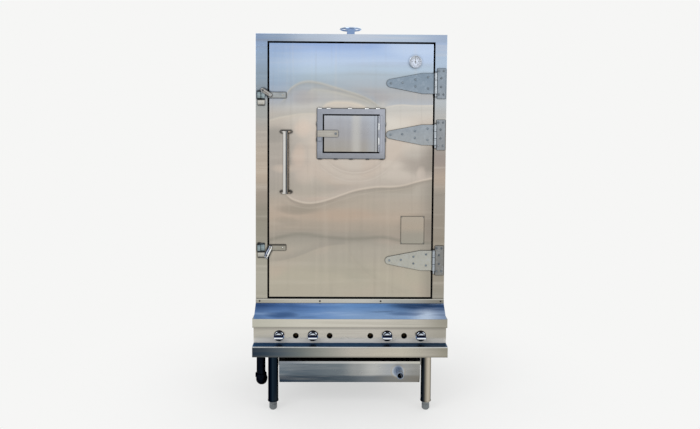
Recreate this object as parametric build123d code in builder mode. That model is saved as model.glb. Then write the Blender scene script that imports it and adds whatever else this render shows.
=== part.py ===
from build123d import *
import math
import os

# An upright gas smoker oven: an insulated cabinet with one tall door, on a burner base with legs.
# X runs to the right, Y away from the viewer and Z up. The origin is on the floor, under the middle
# of the whole oven. All sizes are in millimetres.

# Cabinet
cabinet_width = 914.0
cabinet_depth = 640.0
cabinet_height = 1298.0
cabinet_base = 500.0
ledge_reach = 127.0
outer_sheet = 1.2
frame_sheet = 1.5
fold_round = 1.2
liner_sheet = 1.0
wall_depth = 50.0
stile_width = 56.0
top_rail = 35.5
sill_height = 21.5
side_seat = 0.3
rear_flange = 18.0

# Main door
door_gap = 8.5
door_thickness = 50.0
door_sheet = 1.2
door_corner = 2.5
door_fold = 2.0
stop_reach = 24.0
gasket_width = 12.0
gasket_depth = 6.2
seal_gap = 0.3
gasket_inset = 0.5

# Strap hinges
hinge_side = 2.0
hinge_stand = 8.0
hinge_barrel = 14.5
hinge_pin = 8.0
hinge_sheet = 3.0
hinge_tip_gap = 5.5
hinge_root = 96.0
hinge_shoulder = 55.0
hinge_tip = 18.0
hinge_knuckle = 22.0
hinge_plate_height = 143.0
hinge_plate_width = 42.0
hinge_play = 0.1
hinge_shy = 0.7
hinge_pin_tail = 14.0
hinge_pin_head = 12.0
hinge_pin_cap = 3.0
knuckle_gap = 0.5
hinge_drops = (188.0, 434.0)
hinge_rise = 181.0

# Swing latches at the free edge of the door
latch_rise = 242.0
latch_drop = 248.0
latch_pivot_inset = 6.5
latch_strap_length = 84.0
latch_strap_height = 28.0
latch_strap_sheet = 3.0
latch_strap_end = 9.0
latch_hole = 9.0
latch_hole_inset = 16.0
latch_pin = 6.0
latch_arm = 42.0
latch_bar = 8.0
latch_hub = 18.0
latch_eye = 20.0
latch_ring_hole = 10.0
latch_round = 1.6
latch_rest_angles = (64.0, -31.0)
latch_play = 0.1
latch_clearance = 0.7
latch_head = 11.0
latch_head_depth = 2.5
keeper_inset = 10.0
keeper_width = 33.0
keeper_lip = 14.0
keeper_height = 43.0
keeper_foot = 28.0
keeper_foot_thickness = 3.0
keeper_sheet = 2.0
keeper_room = 1.2

# Door handle
handle_inset = 81.5
handle_length = 283.5
handle_drop = 425.5
handle_bar = 25.0
handle_stand = 46.0
handle_bracket_width = 60.0
handle_bracket = 6.0
handle_overhang = 4.0

# Inspection hatch in the door
hatch_width = 259.0
hatch_height = 173.0
hatch_drop = 430.5
hatch_gap = 7.0
hatch_thickness = 32.0
hatch_flange = 27.0
hatch_flange_sheet = 4.0
hatch_sleeve = 1.2
hatch_stop = 10.0
hatch_play = 0.3
hatch_barrel = 7.0
hatch_pin = 3.0
hatch_leaf = 1.5
hatch_leaf_width = 19.0
hatch_leaf_lift = 0.5
hatch_leaf_gap = 0.7
hatch_knuckles = 5
hatch_knuckle_gap = 0.6

# Hatch latch
hatch_latch_x = -74.0
hatch_latch_length = 87.0
hatch_latch_height = 31.0
hatch_latch_sheet = 3.0
hatch_latch_washer = 2.5
hatch_latch_pin = 6.0
hatch_latch_head = 12.0
hatch_latch_head_depth = 2.3
hatch_latch_gap = 0.2
hatch_latch_end = 12.0
hatch_latch_corner = 4.0
hatch_latch_drop = 12.0
catch_width = 20.0
catch_top_gap = 2.0
catch_sheet = 1.5
catch_lip = 2.0
catch_play = 0.5

# Thermometer in the door
gauge_inset = 87.5
gauge_drop = 86.0
gauge_diameter = 60.0
gauge_depth = 14.0
gauge_wall = 2.0
gauge_edge = 1.2
gauge_stem = 6.5
gauge_stem_length = 150.0
gauge_stem_hole = 8.0
gauge_dial_sheet = 0.8
gauge_pointer_sheet = 0.6
gauge_pointer_length = 23.0
gauge_pivot = 3.0
gauge_glass = 2.0
gauge_play = 0.3
gauge_floor = 3.0
gauge_lip = 1.0
gauge_shaft_play = 0.1
gauge_glass_play = 0.1
gauge_pointer_gap = 0.6
gauge_pointer_tail = 7.0

# Rating plate on the door
plate_inset = 34.5
plate_width = 116.0
plate_rise = 260.0
plate_height = 137.5
plate_sheet = 0.8

# Roof flue with a screw-down cover
flue_diameter = 152.0
flue_sheet = 1.5
flue_rise = 22.0
flue_flange = 188.0
flue_flange_sheet = 2.0
flue_play = 0.3
cover_diameter = 162.0
cover_sheet = 2.0
cover_boss = 26.0
cover_boss_depth = 14.0
cover_play = 0.4
cover_ear_reach = 5.0
cover_ear_side = 7.0
bridge_half_span = 98.0
bridge_width = 38.0
bridge_sheet = 4.0
bridge_rise = 57.0
bridge_foot = 26.0
bridge_bend = 3.6
spindle = 12.0
spindle_play = 0.1
spindle_collar = 24.0
spindle_collar_depth = 6.0
spindle_tail = 6.0
wheel_diameter = 116.0
wheel_rim = 10.0
wheel_height = 68.0
wheel_hub = 24.0
wheel_hub_top = 74.0
wheel_spoke = 7.0
wheel_spokes = 4

# Burner base
apron_reach = 72.0
apron_drop = 56.0
sill_sheet = 1.2
sill_gap = 0.5
apron_lip = 34.0
rim_overhang = 7.0
rim_height = 42.0
rim_side_return = 130.0
panel_setback = 6.0
panel_height = 74.0
panel_overhang = 2.0
panel_return = 24.0
panel_tongue = 32.0
ledge_height = 50.0
ledge_overhang = 1.0
ledge_tail = 16.0
ledge_lip = 38.5
ledge_cheek = 133.0
rail_width = 40.0
rail_sheet = 3.0
bearer_width = 60.0
bearer_height = 40.0
base_flange = 54.0

# Legs and feet
leg_inset = 90.0
leg_front_setback = 77.0
leg_rear_inset = 60.0
leg_diameter = 48.6
leg_wall = 2.0
leg_socket = 51.0
leg_socket_rim = 5.0
leg_plug = 22.0
foot_height = 41.0
foot_diameter = 37.0
foot_stem = 16.0
foot_stem_length = 55.0
foot_play = 0.1
foot_toe = 5.0
foot_slope = 7.0
foot_groove = 2.0
foot_groove_drop = 14.0

# Drip pan
pan_clearance = 4.7
pan_front_setback = 67.5
pan_rear_inset = 93.5
pan_drop = 43.0
pan_rim_height = 17.0
pan_rim_width = 16.0
pan_face_height = 70.0
pan_height = 110.0
pan_nose = 20.0
pan_sheet = 1.2
runner_sheet = 2.0
runner_play = 0.3
runner_side_play = 1.5
runner_tub_gap = 3.0
runner_front_gap = 3.0
runner_overrun = 10.0
spout_inset = 100.0
spout_drop = 51.0
spout_diameter = 33.4
spout_bore = 26.6
spout_length = 50.0

# Gas train
knob_inset = 119.0
burner_spacing = 161.0
port_offset = 80.0
knob_rise = 34.0
port_diameter = 28.0
stem_diameter = 8.0
stem_hole = 12.0
knob_diameter = 50.0
knob_skirt = 6.0
knob_body = 40.0
knob_body_depth = 14.0
knob_grip = 14.0
knob_grip_depth = 20.0
knob_grip_length = 46.0
knob_stand = 1.0
knob_taper = 1.0
knob_slope = 5.0
knob_grip_round = 2.8
valve_body = 22.0
valve_length = 54.0
valve_play = 0.1
valve_setback = 8.0
valve_nipple = 14.0
stem_depth = 18.0
stem_end_gap = 1.0
orifice_body = 10.0
orifice_length = 10.0
manifold_setback = 40.2
manifold_rise = 20.0
manifold_diameter = 26.9
manifold_wall = 2.9
manifold_tail = 40.0
manifold_cap = 12.0
manifold_foot = 22.0
pilot_body = 13.0
pilot_length = 36.0
pilot_setback = 10.0
pilot_nipple = 8.0
inlet_inset = 29.0
inlet_diameter = 42.2
inlet_wall = 3.6
inlet_drop = 152.0
elbow_band = 54.0
elbow_band_length = 16.0
elbow_bend = 24.0
elbow_body = 46.0
pipe_play = 0.3
elbow_bore = 41.0
elbow_outlet = 38.0
burner_diameter = 38.0
burner_wall = 2.0
burner_front_gap = 110.2
burner_rear_gap = 83.5
burner_mixer = 40.0
burner_throat = 22.0
burner_bell = 32.0
burner_slots = 14
burner_slot_pitch = 25.0
burner_slot_width = 2.0
burner_slot_height = 4.0
burner_slot_rise = 10.0
support_inset = 20.0
support_sheet = 3.0
support_height = 14.0
burner_seat = 0.3
support_width = 30.0
shield_width = 96.0
shield_peak_rise = 78.0
shield_eave_rise = 38.0
shield_sheet = 1.5
shield_tab = 25.0
tray_overhang = 33.0
tray_depth = 220.0
tray_height = 45.0
tray_sheet = 1.5
tray_ahead = 123.5
tray_seat = 0.3

# Hanging rods
rod_diameter = 12.0
rod_count = 6
rod_pitch = 80.0
rod_clearance = 6.0
rod_rail_drop = 162.5
rod_rail_width = 30.0
rod_rail_height = 30.0
rod_rail_lip = 18.0
rod_rail_sheet = 2.0
rod_notch_play = 0.3
rod_end_gap = 4.0
rod_rail_end_gap = 10.0

# Places worked out from the sizes above
front_y = -(cabinet_depth + ledge_reach) / 2
face_y = front_y + ledge_reach
back_y = face_y + cabinet_depth
half_width = cabinet_width / 2
roof_z = cabinet_base + cabinet_height
opening_half = half_width - stile_width
opening_low = cabinet_base + sill_height
opening_high = roof_z - top_rail
door_half = opening_half - door_gap
door_low = opening_low + door_gap
door_high = opening_high - door_gap
door_back = face_y + door_thickness
stop_y = door_back + seal_gap + gasket_depth
liner_front = stop_y + frame_sheet
liner_back_y = back_y - wall_depth
liner_outer = opening_half + frame_sheet
hinge_x = opening_half + hinge_side
hinge_y = face_y - hinge_stand
flue_y = (face_y + back_y) / 2
rail_z = opening_high - rod_rail_drop
leg_x = half_width - leg_inset

# Places on the door, kept from its own edges
hinge_heights = (door_low + hinge_rise, door_high - hinge_drops[1], door_high - hinge_drops[0])
latch_heights = (door_low + latch_rise, door_high - latch_drop)
hatch_centre = door_high - hatch_drop
flange_half = hatch_width / 2 + hatch_gap + hatch_flange
hinge_length = hinge_x - flange_half - hinge_tip_gap
handle_x = handle_inset - door_half
handle_high = door_high - handle_drop
handle_low = handle_high - handle_length
gauge_x = door_half - gauge_inset
gauge_z = door_high - gauge_drop
plate_left = door_half - plate_inset - plate_width
plate_bottom = door_low + plate_rise

# Places on the burner base, from the front edge back and from the cabinet's foot down
apron_front = face_y - sill_sheet - apron_reach
apron_foot = cabinet_base - apron_drop
rim_front = apron_front - frame_sheet
rim_low = apron_foot - rim_height
panel_front = rim_front + panel_setback
ledge_top = rim_low - panel_height
ledge_low = ledge_top - ledge_height
rail_low = ledge_low
rail_high = ledge_top
knob_z = ledge_top + knob_rise
outer_knob_x = half_width - knob_inset
inner_knob_x = outer_knob_x - burner_spacing
knob_places = [-outer_knob_x, -inner_knob_x, inner_knob_x, outer_knob_x]
port_places = [-outer_knob_x + port_offset, -inner_knob_x + port_offset]
port_places += [inner_knob_x - port_offset, outer_knob_x - port_offset]
manifold_y = panel_front + manifold_setback
manifold_z = rail_low + bearer_height + manifold_rise
inlet_x = inlet_inset - half_width
inlet_elbow_z = rail_low - inlet_drop
burner_front = panel_front + burner_front_gap
burner_rear = back_y - burner_rear_gap
support_front = burner_front + support_inset
support_rear = burner_rear - support_inset
shield_peak = knob_z + shield_peak_rise
shield_eave = knob_z + shield_eave_rise
tray_front = flue_y - tray_ahead
pan_half = leg_x - leg_diameter / 2 - pan_clearance
pan_front = front_y + pan_front_setback
pan_rear = back_y - pan_rear_inset
pan_top = rail_low - pan_drop
pan_face_bottom = pan_top - pan_face_height
pan_bottom = pan_top - pan_height
spout_x = pan_half - spout_inset
spout_z = pan_top - spout_drop


def facing(y):
    """The upright plane at depth y, looking at the viewer: its own x is X and its own y is Z."""
    return Plane.XZ.offset(-y)


def across(x):
    """The upright plane at x, looking to the right: its own x is Y and its own y is Z."""
    return Plane.YZ.offset(x)


def level(z):
    """The flat plane at height z."""
    return Plane.XY.offset(z)


def patch(across_limits, up_limits, mode=Mode.ADD):
    """A rectangle between limits, in the sketch being drawn."""
    (x0, x1), (y0, y1) = across_limits, up_limits
    with Locations(((x0 + x1) / 2, (y0 + y1) / 2)):
        Rectangle(x1 - x0, y1 - y0, mode=mode)


def block(x_limits, y_limits, z_limits, mode=Mode.ADD):
    """A box between limits, in the part being made."""
    limits = (x_limits, y_limits, z_limits)
    centre = tuple((low + high) / 2 for low, high in limits)
    with Locations(centre):
        Box(*(high - low for low, high in limits), mode=mode)


def round_front(piece, radius):
    """Rounds the outer edges of the foremost face, as a folded sheet has them."""
    fillet(piece.faces().sort_by(Axis.Y)[0].outer_wire().edges(), radius=radius)


def save(piece, label):
    """Names a finished piece and writes its file."""
    piece.part.label = label
    export_step(piece.part, f"parts/{label}.step")


os.makedirs("parts", exist_ok=True)

# Cabinet: front frame, with a return round the door opening and a stop flange behind the door
with BuildPart() as face_frame:
    with BuildSketch(facing(face_y)):
        patch((-half_width, half_width), (cabinet_base, roof_z))
        patch((-opening_half, opening_half), (opening_low, opening_high), Mode.SUBTRACT)
    extrude(amount=-frame_sheet)
    with BuildSketch(facing(face_y)):
        edge = frame_sheet
        patch((-opening_half - edge, opening_half + edge), (opening_low - edge, opening_high + edge))
        patch((-opening_half, opening_half), (opening_low, opening_high), Mode.SUBTRACT)
    extrude(amount=-(liner_front - face_y))
    with BuildSketch(facing(stop_y)):
        patch((-opening_half, opening_half), (opening_low, opening_high))
        inner = opening_half - stop_reach
        patch((-inner, inner), (opening_low + stop_reach, opening_high - stop_reach), Mode.SUBTRACT)
    extrude(amount=-frame_sheet)
    round_front(face_frame, fold_round)
save(face_frame, "face_frame")

# Cabinet: outer sheets
shell_front = face_y + frame_sheet
with BuildPart() as side_panels:
    wall_span = (cabinet_base, roof_z - outer_sheet)
    block((-half_width, -half_width + outer_sheet), (shell_front, back_y), wall_span)
    flange = (-half_width + outer_sheet, -half_width + outer_sheet + rear_flange)
    block(flange, (back_y - 2 * outer_sheet, back_y - outer_sheet), wall_span)
    mirror(about=Plane.YZ)
save(side_panels, "side_panels")

with BuildPart() as back_panel:
    inner = half_width - outer_sheet
    block((-inner, inner), (back_y - outer_sheet, back_y), (cabinet_base, roof_z - outer_sheet))
save(back_panel, "back_panel")

flue_hole = flue_diameter / 2 + flue_play
with BuildPart() as roof_panel:
    with BuildSketch(level(roof_z)):
        patch((-half_width, half_width), (shell_front, back_y))
        with Locations((0, flue_y)):
            Circle(flue_hole, mode=Mode.SUBTRACT)
    extrude(amount=-outer_sheet)
save(roof_panel, "roof_panel")

# Cabinet: inner sheets, in line with the door opening
with BuildPart() as liner_sides:
    side = (opening_half, opening_half + liner_sheet)
    block(side, (liner_front, liner_back_y), (cabinet_base, opening_high))
    mirror(about=Plane.YZ)
save(liner_sides, "liner_sides")

liner_half = opening_half + liner_sheet
with BuildPart() as liner_back:
    block((-liner_half, liner_half), (liner_back_y, liner_back_y + liner_sheet), (cabinet_base, opening_high))
save(liner_back, "liner_back")

with BuildPart() as liner_top:
    with BuildSketch(level(opening_high)):
        patch((-liner_half, liner_half), (liner_front, liner_back_y + liner_sheet))
        with Locations((0, flue_y)):
            Circle(flue_hole, mode=Mode.SUBTRACT)
    extrude(amount=liner_sheet)
save(liner_top, "liner_top")

# Cabinet: insulation between the sheets, two sides, back and top
with BuildPart() as insulation:
    wool_out = half_width - outer_sheet - side_seat
    wool_in = liner_outer + side_seat
    wool_low = cabinet_base + side_seat
    wool_back = back_y - 2 * outer_sheet - side_seat
    top_low = opening_high + frame_sheet + side_seat
    wool_front = shell_front + side_seat
    block((wool_in, wool_out), (wool_front, wool_back), (wool_low, top_low - side_seat))
    mirror(about=Plane.YZ)
    behind = liner_back_y + liner_sheet + side_seat
    block((-wool_in + side_seat, wool_in - side_seat), (behind, wool_back), (wool_low, top_low - side_seat))
    with BuildSketch(level(top_low)):
        patch((-wool_out, wool_out), (wool_front, wool_back))
        with Locations((0, flue_y)):
            Circle(flue_hole, mode=Mode.SUBTRACT)
    extrude(amount=roof_z - outer_sheet - side_seat - top_low)
save(insulation, "insulation")

# Rope gasket on the stop flange
with BuildPart() as door_gasket:
    with BuildSketch(facing(stop_y)):
        out = door_half - gasket_inset
        ring_low = door_low + gasket_inset
        ring_high = door_high - gasket_inset
        patch((-out, out), (ring_low, ring_high))
        core = out - gasket_width
        patch((-core, core), (ring_low + gasket_width, ring_high - gasket_width), Mode.SUBTRACT)
    extrude(amount=gasket_depth)
    fillet(door_gasket.faces().sort_by(Axis.Y)[0].outer_wire().edges(), radius=gasket_depth / 3)
save(door_gasket, "door_gasket")

# Hanging rods on notched rails
rod_low = rail_z + rod_rail_sheet + rod_clearance
rod_centre = rod_low + rod_diameter / 2
rod_first = flue_y - rod_pitch * (rod_count - 1) / 2
rod_places = [rod_first + step * rod_pitch for step in range(rod_count)]
rod_rail_inner = opening_half - rod_rail_width
with BuildPart() as rod_rails:
    run = (liner_front + rod_rail_end_gap, liner_back_y - rod_rail_end_gap)
    block((opening_half - rod_rail_sheet, opening_half), run, (rail_z - rod_rail_height, rail_z))
    block((rod_rail_inner, opening_half), run, (rail_z, rail_z + rod_rail_sheet))
    lip_top = rail_z + rod_rail_lip
    block((rod_rail_inner, rod_rail_inner + rod_rail_sheet), run, (rail_z, lip_top))
    with BuildSketch(across(rod_rail_inner)):
        notch = rod_diameter / 2 + rod_notch_play
        for place in rod_places:
            with Locations((place, rod_centre)):
                Circle(notch)
            patch((place - notch, place + notch), (rod_centre, lip_top + rod_rail_sheet))
    extrude(amount=rod_rail_sheet, mode=Mode.SUBTRACT)
    mirror(about=Plane.YZ)
save(rod_rails, "rod_rails")

with BuildPart() as hanging_rods:
    rod_half = opening_half - rod_rail_sheet - rod_end_gap
    with BuildSketch(across(-rod_half)):
        with Locations(*((place, rod_centre) for place in rod_places)):
            Circle(rod_diameter / 2)
    extrude(amount=2 * rod_half)
save(hanging_rods, "hanging_rods")

# Flue: collar through the roof, cover disc on a threaded spindle, bridge and handwheel
with BuildPart() as flue_collar:
    with BuildSketch(level(opening_high)):
        with Locations((0, flue_y)):
            Circle(flue_diameter / 2)
            Circle(flue_diameter / 2 - flue_sheet, mode=Mode.SUBTRACT)
    extrude(amount=roof_z + flue_rise - opening_high)
    with BuildSketch(level(roof_z)):
        with Locations((0, flue_y)):
            Circle(flue_flange / 2)
            Circle(flue_diameter / 2 - flue_sheet, mode=Mode.SUBTRACT)
    extrude(amount=flue_flange_sheet)
save(flue_collar, "flue_collar")

bridge_top = roof_z + bridge_rise
spindle_hole = spindle / 2 + spindle_play
with BuildPart() as damper_bridge:
    with BuildSketch(across(-bridge_width / 2)):
        inside = bridge_half_span - bridge_sheet / 2
        outside = bridge_half_span + bridge_sheet / 2
        tip = outside + bridge_foot
        patch((flue_y - outside, flue_y + outside), (roof_z, bridge_top))
        patch((flue_y - inside, flue_y + inside), (roof_z, bridge_top - bridge_sheet), Mode.SUBTRACT)
        patch((flue_y - tip, flue_y - inside), (roof_z, roof_z + bridge_sheet))
        patch((flue_y + inside, flue_y + tip), (roof_z, roof_z + bridge_sheet))
    extrude(amount=bridge_width)
    bends = damper_bridge.edges().filter_by(Axis.X).group_by(Axis.Z)[-1]
    fillet(bends, radius=bridge_bend)
    with BuildSketch(level(bridge_top)):
        with Locations((0, flue_y)):
            Circle(spindle_hole)
    extrude(amount=-2 * bridge_sheet, mode=Mode.SUBTRACT)
save(damper_bridge, "damper_bridge")

cover_low = roof_z + flue_rise + flue_play
with BuildPart() as flue_cover:
    with BuildSketch(level(cover_low)):
        with Locations((0, flue_y)):
            Circle(cover_diameter / 2)
        ear = bridge_half_span + bridge_sheet / 2 + cover_ear_reach
        ear_half = bridge_width / 2 + cover_ear_side
        patch((-ear_half, ear_half), (flue_y - ear, flue_y + ear))
        slot_half = bridge_width / 2 + cover_play
        slot_in = bridge_half_span - bridge_sheet / 2 - cover_play
        slot_out = bridge_half_span + bridge_sheet / 2 + cover_play
        patch((-slot_half, slot_half), (flue_y - slot_out, flue_y - slot_in), Mode.SUBTRACT)
        patch((-slot_half, slot_half), (flue_y + slot_in, flue_y + slot_out), Mode.SUBTRACT)
    extrude(amount=cover_sheet)
    with BuildSketch(level(cover_low - cover_boss_depth)):
        with Locations((0, flue_y)):
            Circle(cover_boss / 2)
    extrude(amount=cover_boss_depth)
    with BuildSketch(level(cover_low - cover_boss_depth)):
        with Locations((0, flue_y)):
            Circle(spindle_hole)
    extrude(amount=cover_boss_depth + cover_sheet, mode=Mode.SUBTRACT)
save(flue_cover, "flue_cover")

# The wheel and its spindle turn as one; collars above and below the bridge hold their height
with BuildPart() as handwheel:
    with BuildSketch(Plane.XZ.offset(-flue_y)):
        hub_low = bridge_top + flue_play
        collar_top = bridge_top - bridge_sheet - flue_play
        spindle_low = cover_low - cover_boss_depth - spindle_tail
        patch((0, spindle / 2), (spindle_low, roof_z + wheel_hub_top))
        patch((0, wheel_hub / 2), (hub_low, roof_z + wheel_hub_top))
        patch((0, spindle_collar / 2), (collar_top - spindle_collar_depth, collar_top))
    revolve(axis=Axis((0, flue_y, 0), (0, 0, 1)))
    wheel_z = roof_z + wheel_height
    ring = (wheel_diameter - wheel_rim) / 2
    with Locations((0, flue_y, wheel_z)):
        Torus(ring, wheel_rim / 2)
    for spoke in range(wheel_spokes):
        with Locations(Location((0, flue_y, wheel_z), (0, 0, 45 + 360 / wheel_spokes * spoke))):
            with Locations(Location((ring / 2, 0, 0), (0, 90, 0))):
                Cylinder(wheel_spoke / 2, ring)
save(handwheel, "handwheel")

# Sill strip over the joint between cabinet and apron
with BuildPart() as sill_trim:
    trim_back = face_y - sill_sheet
    strip = (trim_back - sill_sheet, trim_back)
    block((-half_width, half_width), strip, (cabinet_base, opening_low - sill_gap))
save(sill_trim, "sill_trim")

# Sloped apron: a flange up behind the sill strip, the slope, and a flange down behind the rim
slope = math.atan2(apron_drop, apron_reach)
slope_fall = sill_sheet / math.cos(slope)
with BuildPart() as front_apron:
    with BuildSketch(across(-half_width)):
        with BuildLine():
            Polyline(
                (face_y, opening_low - 2 * sill_gap),
                (trim_back, opening_low - 2 * sill_gap),
                (trim_back, cabinet_base),
                (apron_front, apron_foot),
                (apron_front, apron_foot - apron_lip),
                (apron_front + sill_sheet, apron_foot - apron_lip),
                (apron_front + sill_sheet, apron_foot + (sill_sheet * math.tan(slope) - slope_fall)),
                (face_y, cabinet_base + sill_sheet * math.tan(slope) - slope_fall),
                close=True,
            )
        make_face()
    extrude(amount=cabinet_width)
save(front_apron, "front_apron")

# Rim: a projecting band round the front and part of the sides
rim_half = half_width + rim_overhang
rim_rear = rim_front + rim_side_return
with BuildPart() as rim_rail:
    with BuildSketch(level(rim_low)):
        patch((-rim_half, rim_half), (rim_front, rim_rear))
        inner = rim_half - frame_sheet
        patch((-inner, inner), (rim_front + frame_sheet, rim_rear), Mode.SUBTRACT)
    extrude(amount=rim_height)
    with BuildSketch(level(rim_low)):
        patch((-rim_half, rim_half), (rim_front, rim_rear))
        inner = half_width + panel_overhang + side_seat
        patch((-inner, inner), (panel_front, rim_rear), Mode.SUBTRACT)
    extrude(amount=frame_sheet)
    with BuildSketch(level(apron_foot)):
        patch((-rim_half, rim_half), (rim_front, rim_rear))
        inner = half_width
        patch((-inner, inner), (rim_front + frame_sheet, rim_rear), Mode.SUBTRACT)
    extrude(amount=-frame_sheet)
    round_front(rim_rail, fold_round)
save(rim_rail, "rim_rail")

# Control panel with knob holes and lighting ports
panel_half = half_width + panel_overhang
with BuildPart() as control_panel:
    with BuildSketch(facing(panel_front)):
        patch((-panel_half, panel_half), (ledge_top, rim_low + panel_tongue))
        with Locations(*((place, knob_z) for place in knob_places)):
            Circle(stem_hole / 2, mode=Mode.SUBTRACT)
        with Locations(*((place, knob_z) for place in port_places)):
            Circle(port_diameter / 2, mode=Mode.SUBTRACT)
    extrude(amount=-frame_sheet)
    for side in (-1, 1):
        edges = sorted((side * (panel_half - frame_sheet), side * panel_half))
        block(edges, (panel_front, panel_front + panel_return), (ledge_top, rim_low))
    corners = control_panel.faces().sort_by(Axis.Y)[0].outer_wire().edges().filter_by(Axis.Z)
    fillet(corners, radius=fold_round)
save(control_panel, "control_panel")

# Base sides: an upright sheet with a flange on top that carries the cabinet, cut to the apron's slope
base_front = panel_front + frame_sheet
with BuildPart() as base_sides:
    with BuildSketch(across(half_width - outer_sheet)):
        with BuildLine():
            under = slope_fall + side_seat - sill_sheet * math.tan(slope)
            start = base_front
            start_fall = (start - apron_front) * math.tan(slope)
            Polyline(
                (back_y, ledge_top),
                (back_y, cabinet_base),
                (face_y, cabinet_base),
                (face_y, cabinet_base - under),
                (start, apron_foot + start_fall - slope_fall - side_seat),
                (start, ledge_top),
                close=True,
            )
        make_face()
    extrude(amount=outer_sheet)
    flange = (half_width - base_flange - outer_sheet, half_width - outer_sheet)
    block(flange, (liner_front, back_y - outer_sheet), (cabinet_base - frame_sheet, cabinet_base))
    mirror(about=Plane.YZ)
save(base_sides, "base_sides")

with BuildPart() as base_back:
    inner = half_width - outer_sheet
    block((-inner, inner), (back_y - outer_sheet, back_y), (ledge_top, cabinet_base))
    inner = half_width - base_flange - outer_sheet
    shelf = (liner_back_y, back_y - outer_sheet)
    block((-inner, inner), shelf, (cabinet_base - frame_sheet, cabinet_base))
save(base_back, "base_back")

# Front ledge: a folded channel with end cheeks
ledge_half = half_width + ledge_overhang
with BuildPart() as ledge_shelf:
    with BuildSketch(across(-ledge_half)):
        patch((front_y, panel_front + ledge_tail), (ledge_top - frame_sheet, ledge_top))
        patch((front_y, front_y + frame_sheet), (ledge_low, ledge_top))
        patch((front_y, front_y + ledge_lip), (ledge_low, ledge_low + frame_sheet))
    extrude(amount=2 * ledge_half)
    for side in (-1, 1):
        edges = sorted((side * (ledge_half - frame_sheet), side * ledge_half))
        block(edges, (front_y, front_y + ledge_cheek), (ledge_low, ledge_top))
    round_front(ledge_shelf, fold_round)
save(ledge_shelf, "ledge_shelf")

# Base frame: two side rails, a rear rail and two bearers that carry the legs
side_rail_front = front_y + ledge_cheek
rear_rail_front = back_y - rail_width
with BuildPart() as base_rails:
    for side in (-1, 1):
        edge = ledge_half - rail_width
        web = sorted((side * (ledge_half - rail_sheet), side * ledge_half))
        flange = sorted((side * edge, side * ledge_half))
        length = (side_rail_front, back_y)
        block(web, length, (rail_low, rail_high))
        block(flange, length, (rail_low, rail_low + rail_sheet))
        block(flange, length, (rail_high - rail_sheet, rail_high))
    cross = (-ledge_half + rail_width + side_seat, ledge_half - rail_width - side_seat)
    block(cross, (back_y - rail_sheet, back_y), (rail_low, rail_high))
    block(cross, (rear_rail_front, back_y), (rail_low, rail_low + rail_sheet))
    block(cross, (rear_rail_front, back_y), (rail_high - rail_sheet, rail_high))
    with BuildSketch(facing(rear_rail_front)):
        for side in (-1, 1):
            with Locations((side * leg_x, rail_low + bearer_height / 2)):
                Rectangle(bearer_width, bearer_height)
                Rectangle(bearer_width - 2 * rail_sheet, bearer_height - 2 * rail_sheet, mode=Mode.SUBTRACT)
    extrude(amount=rear_rail_front - (front_y + ledge_lip))
save(base_rails, "base_rails")

# Legs: tubes closed at the foot by a bored plug with a rim
leg_places = [
    (side * leg_x, place)
    for place in (front_y + leg_front_setback, back_y - leg_rear_inset)
    for side in (-1, 1)
]
with BuildPart() as legs:
    for x, y in leg_places:
        with BuildSketch(facing(y)):
            outer = leg_diameter / 2
            patch((x, x + outer), (foot_height + leg_socket_rim, rail_low))
            patch((x, x + leg_socket / 2), (foot_height, foot_height + leg_socket_rim))
            hollow = (foot_height + leg_socket_rim + leg_plug, rail_low)
            patch((x, x + outer - leg_wall), hollow, Mode.SUBTRACT)
            patch((x, x + foot_stem / 2 + foot_play), (foot_height, rail_low), Mode.SUBTRACT)
        revolve(axis=Axis((x, y, 0), (0, 0, 1)))
save(legs, "legs")

foot_names = ["foot_front_left", "foot_front_right", "foot_rear_left", "foot_rear_right"]
for name, (x, y) in zip(foot_names, leg_places):
    with BuildPart() as foot:
        with BuildSketch(facing(y)):
            pad = foot_diameter / 2
            with BuildLine():
                Polyline(
                    (x, 0),
                    (x + pad - foot_toe, 0),
                    (x + pad, foot_slope),
                    (x + pad, foot_height - foot_groove_drop - foot_groove),
                    (x + pad - foot_groove, foot_height - foot_groove_drop),
                    (x + pad, foot_height - foot_groove_drop + foot_groove),
                    (x + pad, foot_height - side_seat),
                    (x + foot_stem / 2, foot_height - side_seat),
                    (x + foot_stem / 2, foot_height + foot_stem_length),
                    (x, foot_height + foot_stem_length),
                    close=True,
                )
            make_face()
        revolve(axis=Axis((x, y, 0), (0, 0, 1)))
    save(foot, name)

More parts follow.
